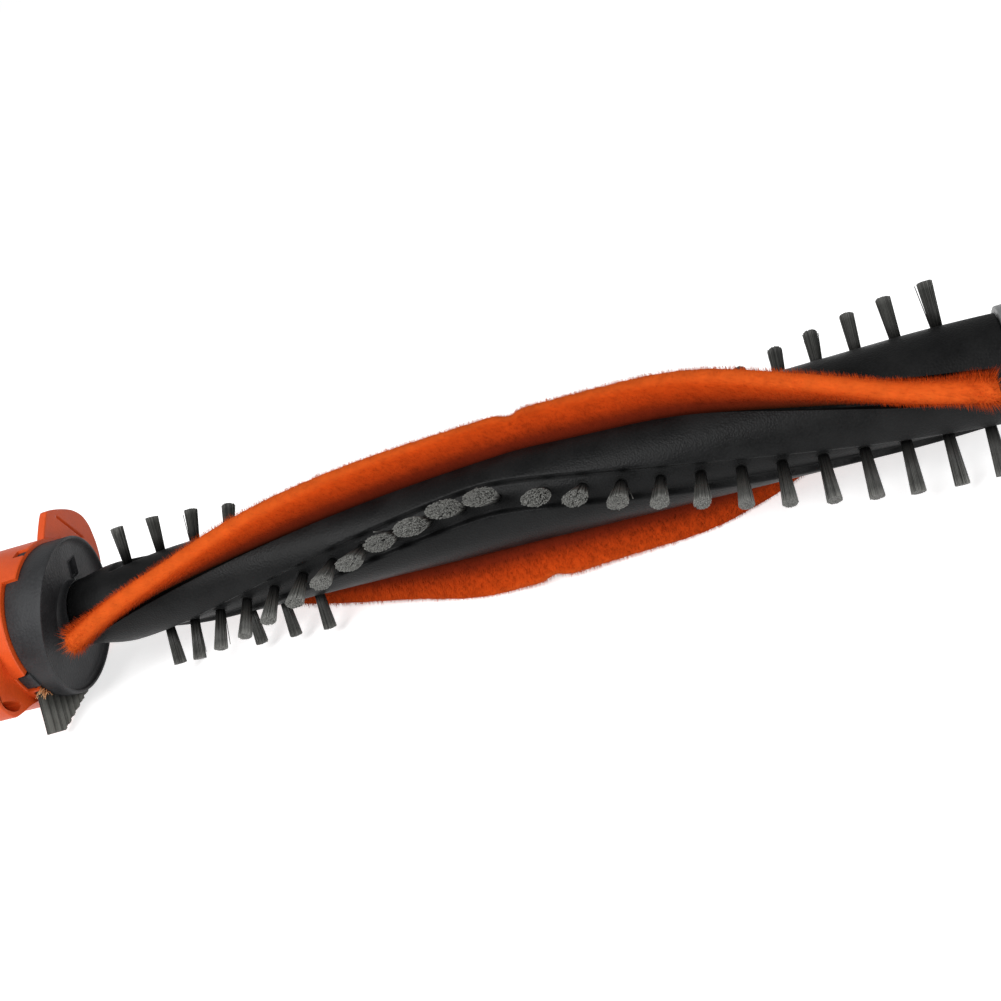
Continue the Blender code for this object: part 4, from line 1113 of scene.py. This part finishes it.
place_camera()
grain = make_grain_group()
core_black = moulded("core_black", grain, (0.0028, 0.003, 0.0032),
                     (0.0095, 0.0098, 0.01), (0.36, 0.5), 0.7, 1900.0,
                     gloss=0.13)
plate_black = moulded("plate_black", grain, (0.018, 0.0185, 0.02),
                      (0.034, 0.035, 0.037), (0.45, 0.62), 0.8, 1300.0,
                      gloss=0.25)
cap_orange = moulded("cap_orange", grain, (0.56, 0.066, 0.01),
                     (0.68, 0.086, 0.015), (0.36, 0.48), 0.3, 1600.0,
                     gloss=0.25)
ring_grey = moulded("ring_grey", grain, (0.15, 0.155, 0.155),
                    (0.2, 0.205, 0.205), (0.35, 0.45), 0.2)
socket_black = moulded("socket_black", grain, (0.004, 0.004, 0.004),
                       (0.008, 0.008, 0.008), (0.5, 0.6), 0.2, gloss=0.2)
# Tuft bristles run from nearly black at the root, painted shade inside the
# bundles and channels, to light grey at the tip, painted light on the cut
# ends.
bristle_dark = fibrous("bristle_dark", (
    (0.0, (0.006, 0.006, 0.006)), (0.35, (0.028, 0.028, 0.026)),
    (0.85, (0.064, 0.065, 0.06)), (1.0, (0.16, 0.16, 0.15))), 0.9, 0.45, 0.3)
# Edge brush bristles are darker towards the roots, painted shade, and lighter
# at the tips, painted light.
bristle_edge = fibrous("bristle_edge", (
    (0.0, (0.03, 0.03, 0.028)), (0.6, (0.085, 0.086, 0.078)),
    (1.0, (0.16, 0.16, 0.145))), 0.9, 0.5, 0.3)
bristle_pale = fibrous("bristle_pale", (
    (0.0, (0.5, 0.13, 0.03)), (1.0, (0.75, 0.42, 0.2))), 0.5, 0.5, 0.4)
# Pile colour by height across the strip: nearly black at the foot is painted
# shade where the strip meets the core, and light orange at the crown is
# painted light on its top.
pile_painted_light_stops = ((0.0, (0.03, 0.003, 0.001)), (0.3, (0.14, 0.012, 0.002)),
              (0.55, (0.38, 0.037, 0.003)), (0.85, (0.5, 0.055, 0.004)),
              (1.0, (0.62, 0.096, 0.012)))
pile_body = fibrous("pile_body", pile_painted_light_stops, 0.0, 0.85, 0.07, 0.06,
                    (1.0, 0.4, 0.12))
pile_fibre = fibrous("pile_fibre", pile_painted_light_stops, 0.45, 0.75, 0.07, 0.06,
                     (1.0, 0.4, 0.12))
steel = moulded("turned_steel", grain, (0.5, 0.5, 0.51), (0.62, 0.62, 0.63),
                (0.25, 0.38), 0.1, metal=1.0)
bronze = moulded("sintered_bronze", grain, (0.4, 0.26, 0.12),
                 (0.52, 0.35, 0.18), (0.4, 0.55), 0.4, metal=1.0)
nylon = moulded("plain_nylon", grain, (0.68, 0.67, 0.63), (0.76, 0.75, 0.71),
                (0.5, 0.6), 0.1)

make_core(core_black)
make_holes(socket_black)
make_rows(bristle_dark)
make_pile_strips(pile_body, pile_fibre)
make_plate(plate_black)
make_cap(cap_orange)
make_wings(cap_orange, plate_black)
make_slot_tab(plate_black)
make_edge_brush(bristle_edge, bristle_pale)
make_ring(ring_grey)
for node, look in (("drive_socket", plate_black), ("stub_axle", steel),
                   ("retaining_clip", steel), ("bearing_bush", bronze),
                   ("thrust_washer", nylon), ("clip_washer", steel)):
    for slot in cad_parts[node].material_slots:
        slot.material = look
add_floor()
add_light()
bpy.context.scene.view_settings.view_transform = "Standard"
